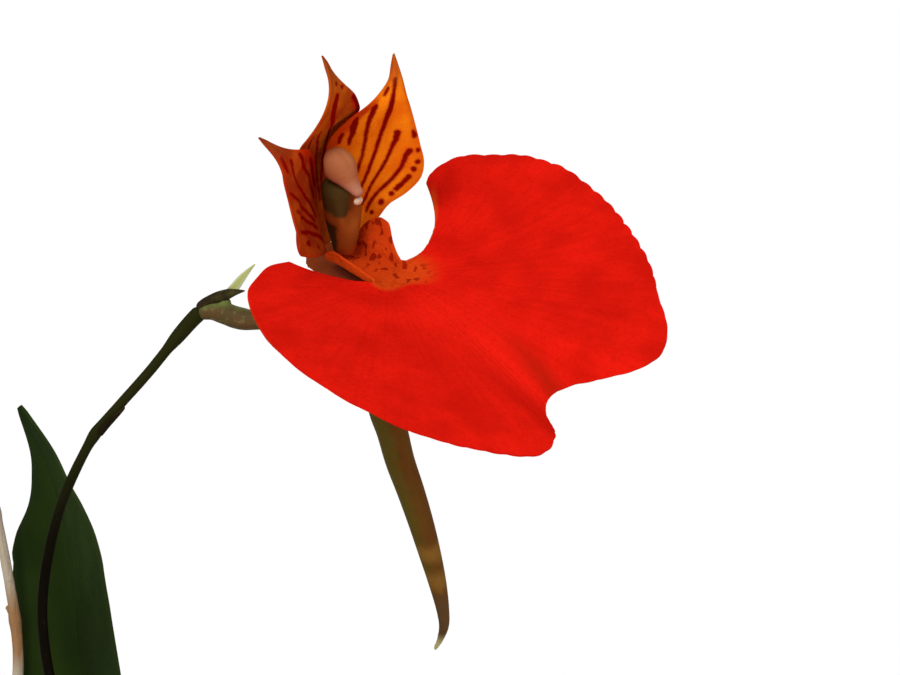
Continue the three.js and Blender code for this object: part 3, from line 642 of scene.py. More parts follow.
def makeBulb(number, bulb):
    def place(u, v):
        angle = 2 * math.pi * v
        ring = read(bulbForm["shape"], u) * bulb["radius"]
        rib = bulbForm["ribDepth"] * math.cos(bulbForm["ribs"] * angle) * smooth(0, 0.12, u)
        fine = 0.012 * math.cos(22 * angle + 2 * rough(u * 4, number, 0))
        crumple = 0.035 * rough(2.2 * math.cos(angle), 2.2 * math.sin(angle), u * 2.5 + 3 * number)
        out = ring * (rib + fine + crumple)
        spot = onBulb(bulb, u, angle, out)
        axis = Vector((*bulb["at"], spot.z))
        end = dome(min(u / bulbForm["footCap"], (1 - u) / bulbForm["topCap"]))
        return axis + (spot - axis) * end

    piece = shell(f"bulb{number}", 70, 72, place)
    return dress(piece, bulbMaterial(number), "pseudobulb", f"pseudobulb_{number}")


def bulbMaterial(number):
    skin = Finish(f"bulbSkin{number}", bulbForm["look"], gloss=0.25)
    uv, along = skin.own()[:2]
    age = (number - 1) / 6 if number < 6 else 0.1  # older ones are yellower
    green = (0.13 + 0.1 * age, 0.2 + 0.02 * age, 0.045 + 0.01 * age)
    skin.tone = skin.mix(skin.noise(6, 4), green, tuple(1.6 * part for part in green))
    ribs = skin.noise(1, 3, (2.5, 60, 1), uv)
    skin.lay(skin.step(ribs, 0.5, 0.75) * 0.45, "rib")
    flush = skin.step(along + skin.noise(4, 3) * 0.6, 0.95, 1.35)
    skin.lay(flush * 0.6, "flush")
    skin.flecks("fleck", size=0.5, detail=2, ends=(0.66, 0.74), share=0.5)
    return skin.done(0.45 + ribs * 0.2, ribs * 0.12 + skin.noise(0.3, 3) * 0.02)


sheath = {
    "foot": 0.03, "reach": 0.62, "clear": 0.6, "wrap": 300, "thickness": 0.4, "fray": 0.14, "flare": 0.35,
    "look": {"dark": (0.3, 0.2, 0.1), "light": (0.55, 0.43, 0.27), "foot": (0.13, 0.075, 0.035),
             "stain": (0.16, 0.1, 0.06)},
}


def makeSheath(number, bulb):
    clear = sheath["clear"] + bulbForm["ribDepth"] * bulb["radius"]

    def place(u, v):
        point = 1 - 0.45 * (2 * v - 1) ** 2
        tear = sheath["fray"] * (rough(v * 17, number, 0) + 0.7 * rough(v * 61, number, 5))
        t = sheath["foot"] + (sheath["reach"] - sheath["foot"]) * u * point * (1 + tear * u)
        angle = math.pi + (v - 0.5) * math.radians(sheath["wrap"])
        out = clear + sheath["flare"] * u * u * (0.4 + rough(v * 7, u * 2, number))
        out += 0.06 * math.sin(v * 150)
        return onBulb(bulb, t, angle, out)

    piece = sheet(f"sheath{number}", 30, 120, place, sheath["thickness"], edge=0.4)
    return dress(piece, sheathMaterial(number), "sheath", f"sheath_{number}", angle=60)


def sheathMaterial(number):
    paper = Finish(f"sheathPaper{number}", sheath["look"], gloss=0.08)
    uv, along = paper.own()[:2]
    fibre = paper.noise(1, 4, (3, 70, 1), uv)
    paper.ground(fibre, "dark", "light")
    paper.lay(paper.step(along + paper.noise(2, 3) * 0.5, 0.55, 0.1) * 0.6, "foot")
    paper.flecks("stain", size=1.5, detail=4, ends=(0.6, 0.75), share=0.55)
    return paper.done(0.8, fibre * 0.25)


# Leaves

leaves = [
    {"line": [(8.6, 15, 108), (7.8, 14.7, 120), (5.9, 14.4, 134), (3.1, 14.2, 148), (0.6, 14.2, 160),
              (-1.4, 14.4, 171.5), (-2.3, 15.2, 178.6), (-3.3, 16, 185.8), (-5.1, 17, 191.8),
              (-8, 18, 197.1)],
     # deep darkens this leaf alone with painted shade, as it stands backlit
     "side": (0.64, -0.77, 0), "half": 10, "deep": 0.4,
     "left": [(0.83, 0), (0.85, 0.03), (0.87, 0.13), (0.888, 0.18), (0.91, 0.135), (0.93, 0.08),
              (0.96, 0.02), (1, 0)],
     "right": [(0.5, 0), (0.64, 0.05), (0.735, 0.085), (0.79, 0.05), (0.83, 0)]},
    {"line": [(-3, 17, 112), (-9, 29, 134), (-17, 42, 149), (-27, 54, 152)], "side": (-0.85, -0.5, 0),
     "half": 9},
    {"line": [(-6, -3, 112), (4, -17, 133), (20, -31, 145), (38, -42, 144)], "side": (0.64, 0.77, 0),
     "half": 9.4},
    {"line": [(-23, -1, 108), (-36, 1, 127), (-51, 3, 138), (-66, 4, 138)], "side": (0.05, -1, 0),
     "half": 8.6},
    {"line": [(-26, -15, 104), (-31, -29, 119), (-37, -44, 126), (-44, -58, 122)], "side": (0.9, -0.4, 0),
     "half": 8},
    {"line": [(23, 15, 106), (34, 25, 122), (47, 34, 131), (61, 41, 130)], "side": (-0.55, 0.83, 0),
     "half": 8.2},
]
leafForm = {
    "rows": 130, "columns": 28, "thickness": 0.7, "crowding": 1.5, "softCrease": 0.45, "ripple": 0.3,
    "outline": [(0, 0.2), (0.07, 0.26), (0.14, 0.5), (0.28, 0.86), (0.41, 0.98), (0.52, 1), (0.64, 0.94),
                (0.735, 0.85), (0.79, 0.79), (0.831, 0.79), (0.858, 0.7), (0.886, 0.51), (0.915, 0.3),
                (0.945, 0.21), (0.975, 0.11), (1, 0.03)],
    "fold": [(0, 66), (0.1, 44), (0.25, 26), (0.5, 17), (0.8, 15), (1, 10)],
    "look": {"dark": (0.011, 0.023, 0.0025), "light": (0.028, 0.056, 0.006),
             "vein": (0.028, 0.052, 0.008), "middle": (0.036, 0.06, 0.01), "margin": (0.06, 0.08, 0.022),
             # the deep tone is painted shade, used on the backlit leaf only
             "under": (0.03, 0.052, 0.009), "deep": (0.002, 0.006, 0.0004)},
}


def makeLeaf(number, bulb, leaf):
    foot = (*bulb["at"], bulbForm["foot"] + bulb["height"] + 0.1)
    line = Route([foot, (foot[0], foot[1], foot[2] + 4), *leaf["line"]])
    wide = Vector(leaf["side"]).normalized()

    def place(share, v):
        u = 1 - (1 - share) ** leafForm["crowding"]
        ahead = line.heading(u)
        side = (wide - ahead * wide.dot(ahead)).normalized()
        up = ahead.cross(side).normalized()
        spread = leaf.get("left" if v < 0.5 else "right")
        wider = read(spread, u) if spread else 0
        x = (2 * v - 1) * leaf["half"] * (read(leafForm["outline"], u) + wider)
        fold = math.radians(read(leafForm["fold"], u))
        bend = math.hypot(x, leafForm["softCrease"]) - leafForm["softCrease"]
        wave = leafForm["ripple"] * rough(u * 5, v, number * 3) * (2 * v - 1) ** 2
        return line.at(u) + side * x * math.cos(fold) - up * (bend * math.sin(fold) + wave)

    piece = sheet(f"leaf{number}", leafForm["rows"], leafForm["columns"], place, leafForm["thickness"],
                  edge=0.35)
    return dress(piece, leafMaterial(number, leaf.get("deep", 0)), "leaf", f"leaf_{number}", angle=60)


def leafMaterial(number, deep):
    blade = Finish(f"leafSkin{number}", leafForm["look"], gloss=0.02)
    uv, _, across = blade.own()
    veins = blade.noise(1, 2, (1.2, 55, 1), uv)
    fromMiddle = blade.maths("ABSOLUTE", across - 0.5, 0)
    blade.ground(blade.step(blade.noise(9, 3), 0.35, 0.68), "dark", "light")
    blade.lay(blade.step(veins, 0.5, 0.72) * 0.25, "vein")
    blade.lay(blade.step(fromMiddle, 0.022, 0.004) * 0.35, "middle")
    blade.lay(blade.step(fromMiddle, 0.46, 0.496) * 0.5, "margin")
    blade.lay(blade.note("under") * 0.5, "under")
    # painted shade on the backlit leaf: an even darkening by deep, with a darker mottle
    if deep:
        patch = blade.step(blade.noise(11, 3, (1, 1, 0.5)), 0.3, 0.6) * 0.25 + deep
        blade.lay(patch, "deep")
    relief = veins * 0.06 + blade.noise(0.35, 3) * 0.015 - blade.step(fromMiddle, 0.02, 0.0) * 0.1
    return blade.done(0.4 + blade.noise(3, 3) * 0.14, relief)


# Stems, bracts and roots

stem = {
    "route": [(9.8, 9.4, 58), (9.4, 8.9, 66), (8.6, 8, 74), (8, 7.5, 86), (7.6, 7.4, 100),
              (6.4, 7.2, 118), (4.4, 6.9, 135), (1.6, 6.5, 152), (-1.8, 6, 165), (-4, 5.5, 172.2),
              (-4.6, 4.8, 177.8), (-4.3, 4.2, 181.6), (-3.5, 3.5, 185.4), (-2.4, 2.8, 188.9),
              (-0.9, 2, 192.2), (0.8, 1.2, 195.1), (3, 0.5, 197.6), (5.8, -0.3, 200.7), (8.1, -1, 203.5),
              (10.1, -1.6, 205.7), (10.8, -1.8, 206.3)],
    "radius": [(0, 0.95), (0.5, 0.6), (0.9, 0.46), (0.965, 0.48), (0.978, 0.66), (1, 0.75)],
    "nodes": [(0.335, 0.16), (0.625, 0.13), (0.899, 0.12)],
    "look": {"dark": (0.002, 0.0012, 0.0006), "light": (0.0055, 0.0035, 0.0012),
             "top": (0.021, 0.022, 0.004), "low": (0.05, 0.062, 0.018), "fleck": (0.03, 0.022, 0.008)},
}
stemBracts = [
    {"from": 0.33, "to": 0.365, "facing": (1, 0, 0), "flare": 0.5, "clear": 0.2, "wrap": 190},
    {"from": 0.62, "to": 0.65, "facing": (-1, 0, 0), "flare": 0.5, "clear": 0.2, "wrap": 190},
    {"from": 0.901, "to": 0.924, "facing": (0.7, -0.5, -0.6), "flare": 0, "clear": 0.08, "wrap": 150},
]
bractLook = {"dark": (0.008, 0.006, 0.002), "light": (0.02, 0.014, 0.005), "tip": (0.034, 0.026, 0.01)}
oldStalk = {
    "route": [(-19, 4.5, 58), (-19.4, 5, 68), (-19, 6.5, 90), (-17, 9.5, 112), (-13.8, 13, 134),
              (-9.9, 15.8, 155), (-8, 17, 172.3), (-8.4, 17, 177.3), (-9, 17, 181), (-10.1, 17, 186.6),
              (-11.9, 17.4, 193), (-14.9, 18, 199.5), (-18.9, 18.8, 204)],
    "radius": [(0, 0.85), (0.6, 0.65), (1, 0.35)],
    "nodes": [(0.3, 0.15), (0.52, 0.13), (0.7, 0.14), (0.8, 0.12), (0.87, 0.12), (0.93, 0.1),
              (0.975, 0.08)],
    "brown": (171, 174, 177, 181),
    "look": {"pale": (0.5, 0.42, 0.31), "dull": (0.34, 0.28, 0.2), "brown": (0.27, 0.12, 0.035),
             "fleck": (0.15, 0.09, 0.05), "low": (0.25, 0.19, 0.12)},
}
roots = [
    [(23, 5, 64.5), (27, 1, 67.5), (33, -4, 70.6), (39, -7.5, 74.4), (42.6, -9.4, 71), (43.2, -10.8, 62),
     (42.4, -11.8, 52)],
    [(11, 20.5, 65.5), (12.5, 23, 68), (15, 25.6, 68.2), (16.5, 26.6, 64), (17, 27, 57)],
    [(-3, 4, 66), (-1, -2, 68.6), (4, -9, 69), (9, -16, 68.8), (13, -21, 64.5), (15, -24, 55)],
    [(-20, -10, 65.5), (-18, -15, 68.4), (-13, -20, 68.6), (-7, -23, 64.6), (-4, -25, 55)],
    [(-30.5, -5.5, 66), (-33.5, -2.5, 69.8), (-36.8, 1.5, 73), (-40, 6, 74.5), (-42.4, 9.5, 71.4),
     (-42.6, 11.5, 64)],
]
rootForm = {
    "taper": [(0, 0.9), (0.85, 0.9), (1, 0.495)],
    "look": {"pale": (0.55, 0.53, 0.45), "dull": (0.37, 0.36, 0.28), "moist": (0.2, 0.22, 0.12),
             "fleck": (0.18, 0.13, 0.08), "tip": (0.17, 0.3, 0.06)},
}


def swollen(part, share, width):  # a stem's radius with its nodes
    return read(part["radius"], share) + sum(high * hump(share, at, width) for at, high in part["nodes"])


def makeStem():
    def radius(share, angle):
        ribs = 0.012 * math.cos(7 * angle)
        return swollen(stem, share, 0.006) + ribs + 0.02 * rough(share * 60, angle, 0)

    piece = tube("flowerStem", stem["route"], 420, 20, radius)
    skin = Finish("stemSkin", stem["look"], gloss=0.02)
    high = skin.height()
    skin.ground(skin.noise(2.5, 4, (1, 1, 0.35)), "dark", "light")
    skin.lay(skin.step(high + skin.noise(4, 3) * 8, 186, 202) * 0.8, "top")
    skin.lay(skin.step(high + skin.noise(9, 3) * 12, 125, 80), "low")
    skin.flecks("fleck", size=0.35, detail=2, ends=(0.64, 0.74), share=0.3)
    dress(piece, skin.done(0.5, skin.noise(0.3, 3, (1, 1, 0.3)) * 0.04), "stem", "flower_stem")


def makeStemBract(number, bract):
    line = Route(stem["route"])
    facing = Vector(bract["facing"])

    def place(u, v):
        t = bract["from"] + (bract["to"] - bract["from"]) * u
        ahead = line.heading(t)
        out = (facing - ahead * facing.dot(ahead)).normalized()
        side = ahead.cross(out)
        narrowing = (1 - 0.88 * u ** 1.6) * max(0.25, dome(u / 0.16))
        angle = (v - 0.5) * math.radians(bract["wrap"]) * narrowing
        radius = read(stem["radius"], t) + bract["clear"] + bract["flare"] * u * u
        return line.at(t) + out * radius * math.cos(angle) + side * radius * math.sin(angle)

    piece = sheet(f"stemBract{number}", 26, 26, place, 0.32)
    skin = Finish(f"bractSkin{number}", bractLook, gloss=0.02)
    uv, along = skin.own()[:2]
    fibre = skin.noise(1, 3, (2, 30, 1), uv)
    skin.ground(fibre, "dark", "light")
    skin.lay(skin.step(along, 0.4, 1.0) * 0.6, "tip")
    dress(piece, skin.done(0.7, fibre * 0.08), "bract", f"stem_bract_{number}", angle=60)


def makeOldStalk():
    def radius(share, angle):
        ribs = 0.03 * math.cos(5 * angle)
        return swollen(oldStalk, share, 0.005) + ribs + 0.03 * rough(share * 90, angle, 4)

    def stubRadius(share, angle):
        return 0.3 - 0.12 * share + 0.05 * hump(share, 0.9, 0.1)

    body = tube("oldStalk", oldStalk["route"], 400, 18, radius)
    line = Route(oldStalk["route"])
    pieces = [body]
    for k, (share, _) in enumerate(oldStalk["nodes"][2:]):  # the stubs of its dropped flowers
        start = line.at(share)
        away = Vector((math.cos(2.4 * k), 0.4 * math.sin(2.4 * k), 0.9)).normalized()
        reach = 1.5 - 0.15 * k
        route = [start, start + away * reach * 0.5, start + away * reach + Vector((0, 0, 0.3))]
        pieces.append(tube(f"stub{k}", route, 24, 12, stubRadius))
    piece = join("oldStalk", pieces)
    skin = Finish("oldStalkSkin", oldStalk["look"], gloss=0.06)
    high = skin.height()
    skin.ground(skin.noise(2, 4, (1, 1, 0.3)), "pale", "dull")
    low, bottom, top, end = oldStalk["brown"]
    brown = skin.step(high, low, bottom) * skin.step(high, end, top)
    skin.lay(brown * 0.85, "brown")
    skin.flecks("fleck", size=0.5, detail=3, ends=(0.6, 0.72), share=0.5)
    skin.lay(skin.step(high, 165, 120), "low")
    dress(piece, skin.done(0.85, skin.noise(0.3, 4, (1, 1, 0.2)) * 0.12), "old_stalk", "spent_stalk")


def makeRoot(number, route):
    def radius(share, angle):
        lump = 0.07 * rough(share * 22, math.cos(angle), number * 5)
        lump += 0.03 * rough(share * 90, 2 * math.cos(angle), 0)
        return read(rootForm["taper"], share) + lump

    piece = tube(f"root{number}", route, 170, 20, radius)
    skin = Finish(f"rootSkin{number}", rootForm["look"], gloss=0.15)
    along = skin.own()[1]
    skin.ground(skin.noise(2.2, 4), "pale", "dull")
    skin.flecks("moist", size=1.1, detail=4, ends=(0.58, 0.7), share=0.5)
    skin.flecks("fleck", size=0.4, detail=2, ends=(0.62, 0.72), share=0.4)
    skin.lay(skin.step(along, 0.955, 0.985), "tip")
    dress(piece, skin.done(0.65, skin.noise(0.25, 4) * 0.06), "root", f"root_{number}")


# Node under the flower

ovary = {
    "route": [(10.25, -1.75, 205.85), (11.7, -2.1, 206.15), (12.8, -2.3, 205.95), (13.8, -2.5, 205.6),
              (15.2, -2.9, 205.35), (16.9, -3.6, 205.4), (18.8, -4.6, 206.1), (21.4, -6.7, 207.9),
              (23, -8.5, 209.2)],
    "radius": [(0, 0.5), (0.06, 0.72), (0.16, 1.0), (0.26, 1.04), (0.38, 0.84), (0.5, 0.8), (0.75, 0.95),
               (1, 1.1)],
    "web": {"spot": (12.85, -2.55, 206.95), "size": (0.55, 0.4, 0.5)}, "voxel": 0.09,
    "look": {"brown": (0.1, 0.05, 0.017), "olive": (0.078, 0.054, 0.017), "green": (0.12, 0.15, 0.036),
             "fleck": (0.17, 0.15, 0.055)},
}
floralBract = {
    "route": [(10.2, -1.65, 206.4), (11.2, -2.0, 207.0), (12.05, -2.4, 207.4), (12.95, -2.8, 207.68),
              (13.85, -3.2, 207.9), (14.7, -3.5, 208.02)],
    "radius": [(0, 0.4), (0.2, 0.5), (0.45, 0.5), (0.65, 0.46), (0.85, 0.24), (1, 0.05)],
    "look": {"brown": (0.022, 0.014, 0.004), "olive": (0.042, 0.036, 0.009)},
}
budScale = {
    "route": [(12.9, -1.4, 207.7), (13.5, -1.3, 208.2), (14.25, -1.1, 209.15), (14.85, -0.9, 209.85),
              (15.5, -0.7, 210.5)],
    "half": [(0, 0.34), (0.25, 0.42), (0.5, 0.36), (0.75, 0.22), (1, 0.05)], "thickness": 0.22,
    "look": {"light": (0.48, 0.5, 0.16), "vein": (0.36, 0.4, 0.12), "margin": (0.5, 0.55, 0.33),
             "foot": (0.2, 0.22, 0.06)},
}


def makeOvary():
    def ribbed(share, angle):
        rib = 0.05 * math.cos(6 * angle + 5 * share) * smooth(0.25, 0.45, share)
        return read(ovary["radius"], share) + rib

    body = tube("pedicelOvary", ovary["route"], 110, 40, ribbed)
    web = ball("web", 16, 24, ovary["web"], Matrix.Identity(4))
    piece = fuse("pedicelOvary", [body, web], ovary["voxel"], 4)
    note(piece, "lift", [vertex.co.z / mm for vertex in piece.data.vertices])
    skin = Finish("ovarySkin", ovary["look"], gloss=0.08)
    skin.ground(skin.step(skin.noise(2.2, 3), 0.4, 0.62), "brown", "olive")
    green = skin.step(skin.note("lift") + skin.noise(1.2, 3) * 1.2, 206.6, 207.5)
    skin.lay(green, "green")
    skin.flecks("fleck", size=0.5, detail=3, ends=(0.55, 0.7), share=0.5)
    dress(piece, skin.done(0.55, skin.noise(0.3, 3) * 0.04), "ovary", "pedicel_ovary")


def makeFloralBract():
    def keeled(share, angle):
        return read(floralBract["radius"], share) * (1 + 0.14 * math.cos(2 * angle))

    piece = tube("floralBract", floralBract["route"], 70, 26, keeled)
    skin = Finish("floralBractSkin", floralBract["look"], gloss=0.06)
    skin.ground(skin.step(skin.noise(1.2, 4), 0.4, 0.65), "brown", "olive")
    dress(piece, skin.done(0.6, skin.noise(0.3, 3) * 0.05), "ovary", "floral_bract")


def makeBudScale():
    line = Route(budScale["route"])

    def leafy(u, v):
        ahead = line.heading(u)
        side = Vector((0, 1, 0)).cross(ahead).normalized()
        wide = read(budScale["half"], u) * (2 * v - 1)
        return line.at(u) + side * wide - ahead.cross(side) * 0.3 * (wide * wide - 0.1)

    piece = sheet("budScale", 50, 24, leafy, budScale["thickness"], edge=0.35)
    skin = Finish("budScaleSkin", budScale["look"], gloss=0.08)
    uv, along, across = skin.own()
    skin.ground(skin.noise(1, 3, (1.5, 16, 1), uv), "light", "vein")
    fromMiddle = skin.maths("ABSOLUTE", across - 0.5, 0)
    skin.lay(skin.step(fromMiddle, 0.2, 0.45), "margin")
    skin.lay(skin.step(along, 0.25, 0.0), "foot")
    scaled = skin.done(0.55, skin.noise(0.25, 3, (1, 1, 0.3)) * 0.04)
    dress(piece, scaled, "bud_scale", "bud_scale", angle=60)


# Flower: x towards the near lobe, y out along the lip, z up along the column

flower = Matrix.Translation((24, -10, 210)) @ Matrix.Rotation(math.radians(37.7), 4, "X")
flower = flower @ Matrix.Rotation(math.radians(-132.7), 4, "Z")


def inFlower(piece):  # the piece's vertices in the flower's own frame
    back = flower.inverted()
    return [back @ (vertex.co / mm) for vertex in piece.data.vertices]


petal = {
    "inner": [(1.5, -1, 2), (1.35, -1.7, 4.3), (0.95, -2.4, 6.5), (0.6, -2.85, 9), (0.62, -2.9, 10.8)],
    "outer": [(8.26, 2.1, 8.4), (8.31, 1.55, 10.2), (8.3, 0.92, 12.18), (8.25, 0.4, 13.73),
              (8.15, 0.1, 14.73), (8.3, -0.5, 16), (8.88, -2.1, 17.92)],
    "facing": (-0.35, 0.9, 0.27), "hollow": 0.9, "rows": 130, "columns": 70, "thickness": 0.42,
    "look": {"red": (0.46, 0.016, 0.002), "halo": (0.44, 0.016, 0.002), "stripe": (0.21, 0.0025, 0.001),
             "tip": (0.22, 0.04, 0.012)},
}
# Stripes as (share along, share across, half width in mm)
nearPetal = {
    "mirror": 1, "narrow": 0.935, "low": 0.95, "above": 12, "broad": 1.35,
    # painted shade: the near petal's ground is far darker than the far petal's, as it is turned away from the
    # light
    "ground": ((0.29, 0.026, 0.004), (0.44, 0.062, 0.005)),
    "foot": [(2.6, -0.6, 2.4), (4, 0.1, 3.35), (5.6, 1, 4.6), (7.1, 1.7, 5.75), (8.2, 2.1, 6.8)],
    "shoulder": [(1.4, -2.6, 12.2), (2.8, -1.55, 13.73), (4.4, -0.85, 14.91), (5.9, -0.95, 15.69),
                 (7.05, -1.1, 16.46), (7.9, -1.6, 17.1), (8.72, -2.1, 17.87)],
    "stripes": [[(0.857, 0.76, 0.1), (0.812, 0.81, 0.12), (0.777, 0.81, 0.08)],
                [(0.79, 0.46, 0.16), (0.76, 0.6, 0.15), (0.69, 0.62, 0.12), (0.556, 0.48, 0.12),
                 (0.45, 0.4, 0.12), (0.344, 0.28, 0.12), (0.266, 0.21, 0.11), (0.2, 0.15, 0.09)],
                [(0.75, 0.17, 0.16), (0.645, 0.28, 0.17), (0.51, 0.23, 0.14), (0.416, 0.19, 0.13),
                 (0.334, 0.13, 0.12), (0.29, 0.11, 0.1)],
                [(0.62, 0.16, 0.12), (0.58, 0.23, 0.12)],
                [(0.5, 0.06, 0.16), (0.44, 0.09, 0.19), (0.385, 0.07, 0.18), (0.337, 0.05, 0.15)],
                [(0.667, 0.88, 0.1), (0.517, 0.62, 0.13), (0.365, 0.42, 0.12), (0.279, 0.34, 0.11),
                 (0.197, 0.23, 0.1)],
                [(0.529, 0.79, 0.1), (0.35, 0.51, 0.13), (0.252, 0.42, 0.12), (0.151, 0.22, 0.11)],
                [(0.378, 0.73, 0.11), (0.285, 0.65, 0.15), (0.171, 0.45, 0.14), (0.097, 0.2, 0.13),
                 (0.06, 0.05, 0.1)],
                [(0.22, 0.75, 0.21), (0.263, 0.79, 0.14)], [(0.077, 0.57, 0.14)]],
}
farPetal = {
    "mirror": -1, "narrow": 1, "low": 1, "above": 12, "broad": 1.1,
    "ground": ((0.74, 0.12, 0.003), (0.86, 0.21, 0.005)),
    "foot": [(2.6, -0.6, 2.4), (4, 0.2, 3.4), (5.1, 0.7, 4.7), (6.6, 1.4, 5.5), (7.8, 2.1, 6.9)],
    "shoulder": [(1.2, -2.65, 12.5), (2.5, -1.65, 14.2), (4.15, -0.9, 15.25), (5.8, -0.95, 15.8),
                 (7.05, -1.1, 16.46), (7.9, -1.6, 17.1), (8.72, -2.1, 17.87)],
    "stripes": [[(0.724, 0.19, 0.3), (0.688, 0.25, 0.22), (0.608, 0.34, 0.14), (0.524, 0.4, 0.13),
                 (0.45, 0.4, 0.12), (0.38, 0.38, 0.11), (0.293, 0.34, 0.09)],
                [(0.885, 0.43, 0.09), (0.824, 0.48, 0.13), (0.764, 0.5, 0.25), (0.711, 0.53, 0.3),
                 (0.629, 0.55, 0.2), (0.553, 0.55, 0.17), (0.495, 0.54, 0.15), (0.436, 0.51, 0.14),
                 (0.356, 0.48, 0.13), (0.286, 0.46, 0.11), (0.187, 0.4, 0.08)],
                [(0.837, 0.22, 0.14), (0.802, 0.22, 0.13)],
                [(0.595, 0.75, 0.25), (0.559, 0.74, 0.21), (0.493, 0.69, 0.14), (0.433, 0.65, 0.13),
                 (0.378, 0.61, 0.13), (0.316, 0.58, 0.12), (0.26, 0.57, 0.11), (0.207, 0.58, 0.1),
                 (0.15, 0.5, 0.08)],
                [(0.507, 0.87, 0.24), (0.483, 0.83, 0.19), (0.423, 0.8, 0.14), (0.379, 0.77, 0.14),
                 (0.322, 0.74, 0.14), (0.269, 0.71, 0.13), (0.197, 0.7, 0.12), (0.138, 0.67, 0.11)],
                [(0.42, 0.91, 0.22)], [(0.379, 0.89, 0.21), (0.344, 0.87, 0.17), (0.298, 0.86, 0.19)],
                [(0.263, 0.86, 0.2)], [(0.196, 0.85, 0.21)], [(0.134, 0.79, 0.14)],
                [(0.613, 0.94, 0.12), (0.593, 0.95, 0.22)], [(0.519, 0.96, 0.17)], [(0.46, 0.94, 0.2)],
                [(0.651, 0.07, 0.18), (0.612, 0.14, 0.36), (0.559, 0.22, 0.23), (0.499, 0.24, 0.14)],
                [(0.541, 0.1, 0.22), (0.5, 0.12, 0.16)]],
}
dorsal = {
    "right": [(-0.8, -2.4, 1.5), (-1.6, -3.1, 4.5), (-2.7, -3.6, 8), (-3.6, -3.6, 10), (-4.4, -3.3, 12),
              (-4.5, -2.9, 13), (-4.26, -2.03, 14.25), (-3.53, -1.48, 15.75), (-2.6, -1.08, 17.3),
              (-1.62, -1.18, 18.6), (-0.93, -1.53, 19.65), (-0.54, -1.83, 20.5), (-0.45, -2.13, 21.1),
              (-0.33, -2.6, 21.66)],
    "left": [(0.8, -2.4, 1.5), (1.5, -3, 4.5), (2.4, -3.4, 8), (2.9, -3.3, 10), (2.8, -3, 12),
             (2.65, -2.7, 13.2), (2.55, -2.03, 14.3), (2.35, -1.4, 15.4), (2.3, -0.95, 16.2),
             (1.93, -0.55, 17.3), (1.35, -0.48, 18.4), (0.87, -0.68, 19.15), (0.35, -1.18, 20.1),
             (0.03, -1.83, 20.9), (-0.22, -2.6, 21.7)],
    "hollow": 0.35, "rows": 120, "columns": 56, "thickness": 0.42, "broad": 1.25,
    "ground": ((0.33, 0.043, 0.004), (0.5, 0.1, 0.005)),
    "stripes": [[(0.81, 0.57, 0.22), (0.776, 0.64, 0.27), (0.726, 0.61, 0.24), (0.63, 0.53, 0.19),
                 (0.528, 0.43, 0.15), (0.473, 0.41, 0.14), (0.414, 0.38, 0.15), (0.349, 0.36, 0.13),
                 (0.2, 0.36, 0.09)],
                [(0.868, 0.47, 0.14)], [(0.838, 0.22, 0.14)],
                [(0.756, 0.07, 0.17), (0.698, 0.04, 0.18), (0.611, 0.04, 0.2)],
                [(0.502, 0.16, 0.16), (0.48, 0.17, 0.16)],
                [(0.614, 0.88, 0.08), (0.535, 0.79, 0.12), (0.508, 0.79, 0.15)],
                [(0.6, 0.7, 0.08), (0.466, 0.58, 0.12), (0.33, 0.5, 0.1), (0.2, 0.45, 0.08)]],
}


def stripeNotes(place, stripes, broad):  # how far each vertex lies from the nearest stripe, in mm
    discs = []
    for stripe in stripes:
        for a, b in zip(stripe, stripe[1:] or stripe):
            for k in range(14):
                u, v, wide = Vector(a).lerp(Vector(b), k / 13)
                discs.append((*place(u, v), broad * wide))
    discs = np.array(discs)

    def notes(piece, shares):
        away = []
        for vertex in piece.data.vertices:
            spot = np.array(vertex.co) / mm
            gaps = np.linalg.norm(discs[:, :3] - spot, axis=1) - discs[:, 3]
            away.append(float(gaps.min()))
        return {"stripe": away}

    return notes


def makePetal(name, blade, node):
    inner = Route(petal["inner"] + blade["shoulder"])
    outer = Route(blade["foot"] + petal["outer"])
    facing = Vector(petal["facing"])

    def place(u, v):
        depth = petal["hollow"] * 4 * v * (1 - v) * math.sin(math.pi * min(1, u * 1.3))
        depth += 0.1 * math.sin(v * 14 + blade["mirror"]) * math.sin(math.pi * u)
        spot = inner.at(u).lerp(outer.at(u), v) - facing * depth
        spot.x *= blade["mirror"] * blade["narrow"]
        spot.z -= (1 - blade["low"]) * max(0, spot.z - blade["above"])
        return flower @ spot

    notes = stripeNotes(place, blade["stripes"], blade["broad"])
    piece = sheet(name, petal["rows"], petal["columns"], place, petal["thickness"], notes=notes)
    return dress(piece, petalMaterial(name, *blade["ground"]), "petal", node, angle=60)


def makeDorsal():
    right, left = Route(dorsal["right"]), Route(dorsal["left"])

    def place(u, v):
        spot = right.at(u).lerp(left.at(u), v)
        spot.y -= dorsal["hollow"] * 4 * v * (1 - v) * math.sin(math.pi * u)
        spot.y += 0.06 * math.sin(v * 15) * math.sin(math.pi * u)
        return flower @ spot

    notes = stripeNotes(place, dorsal["stripes"], dorsal["broad"])
    piece = sheet("dorsalSepal", dorsal["rows"], dorsal["columns"], place, dorsal["thickness"], notes=notes)
    return dress(piece, petalMaterial("dorsalSepal", *dorsal["ground"]), "petal", "dorsal_sepal", angle=60)


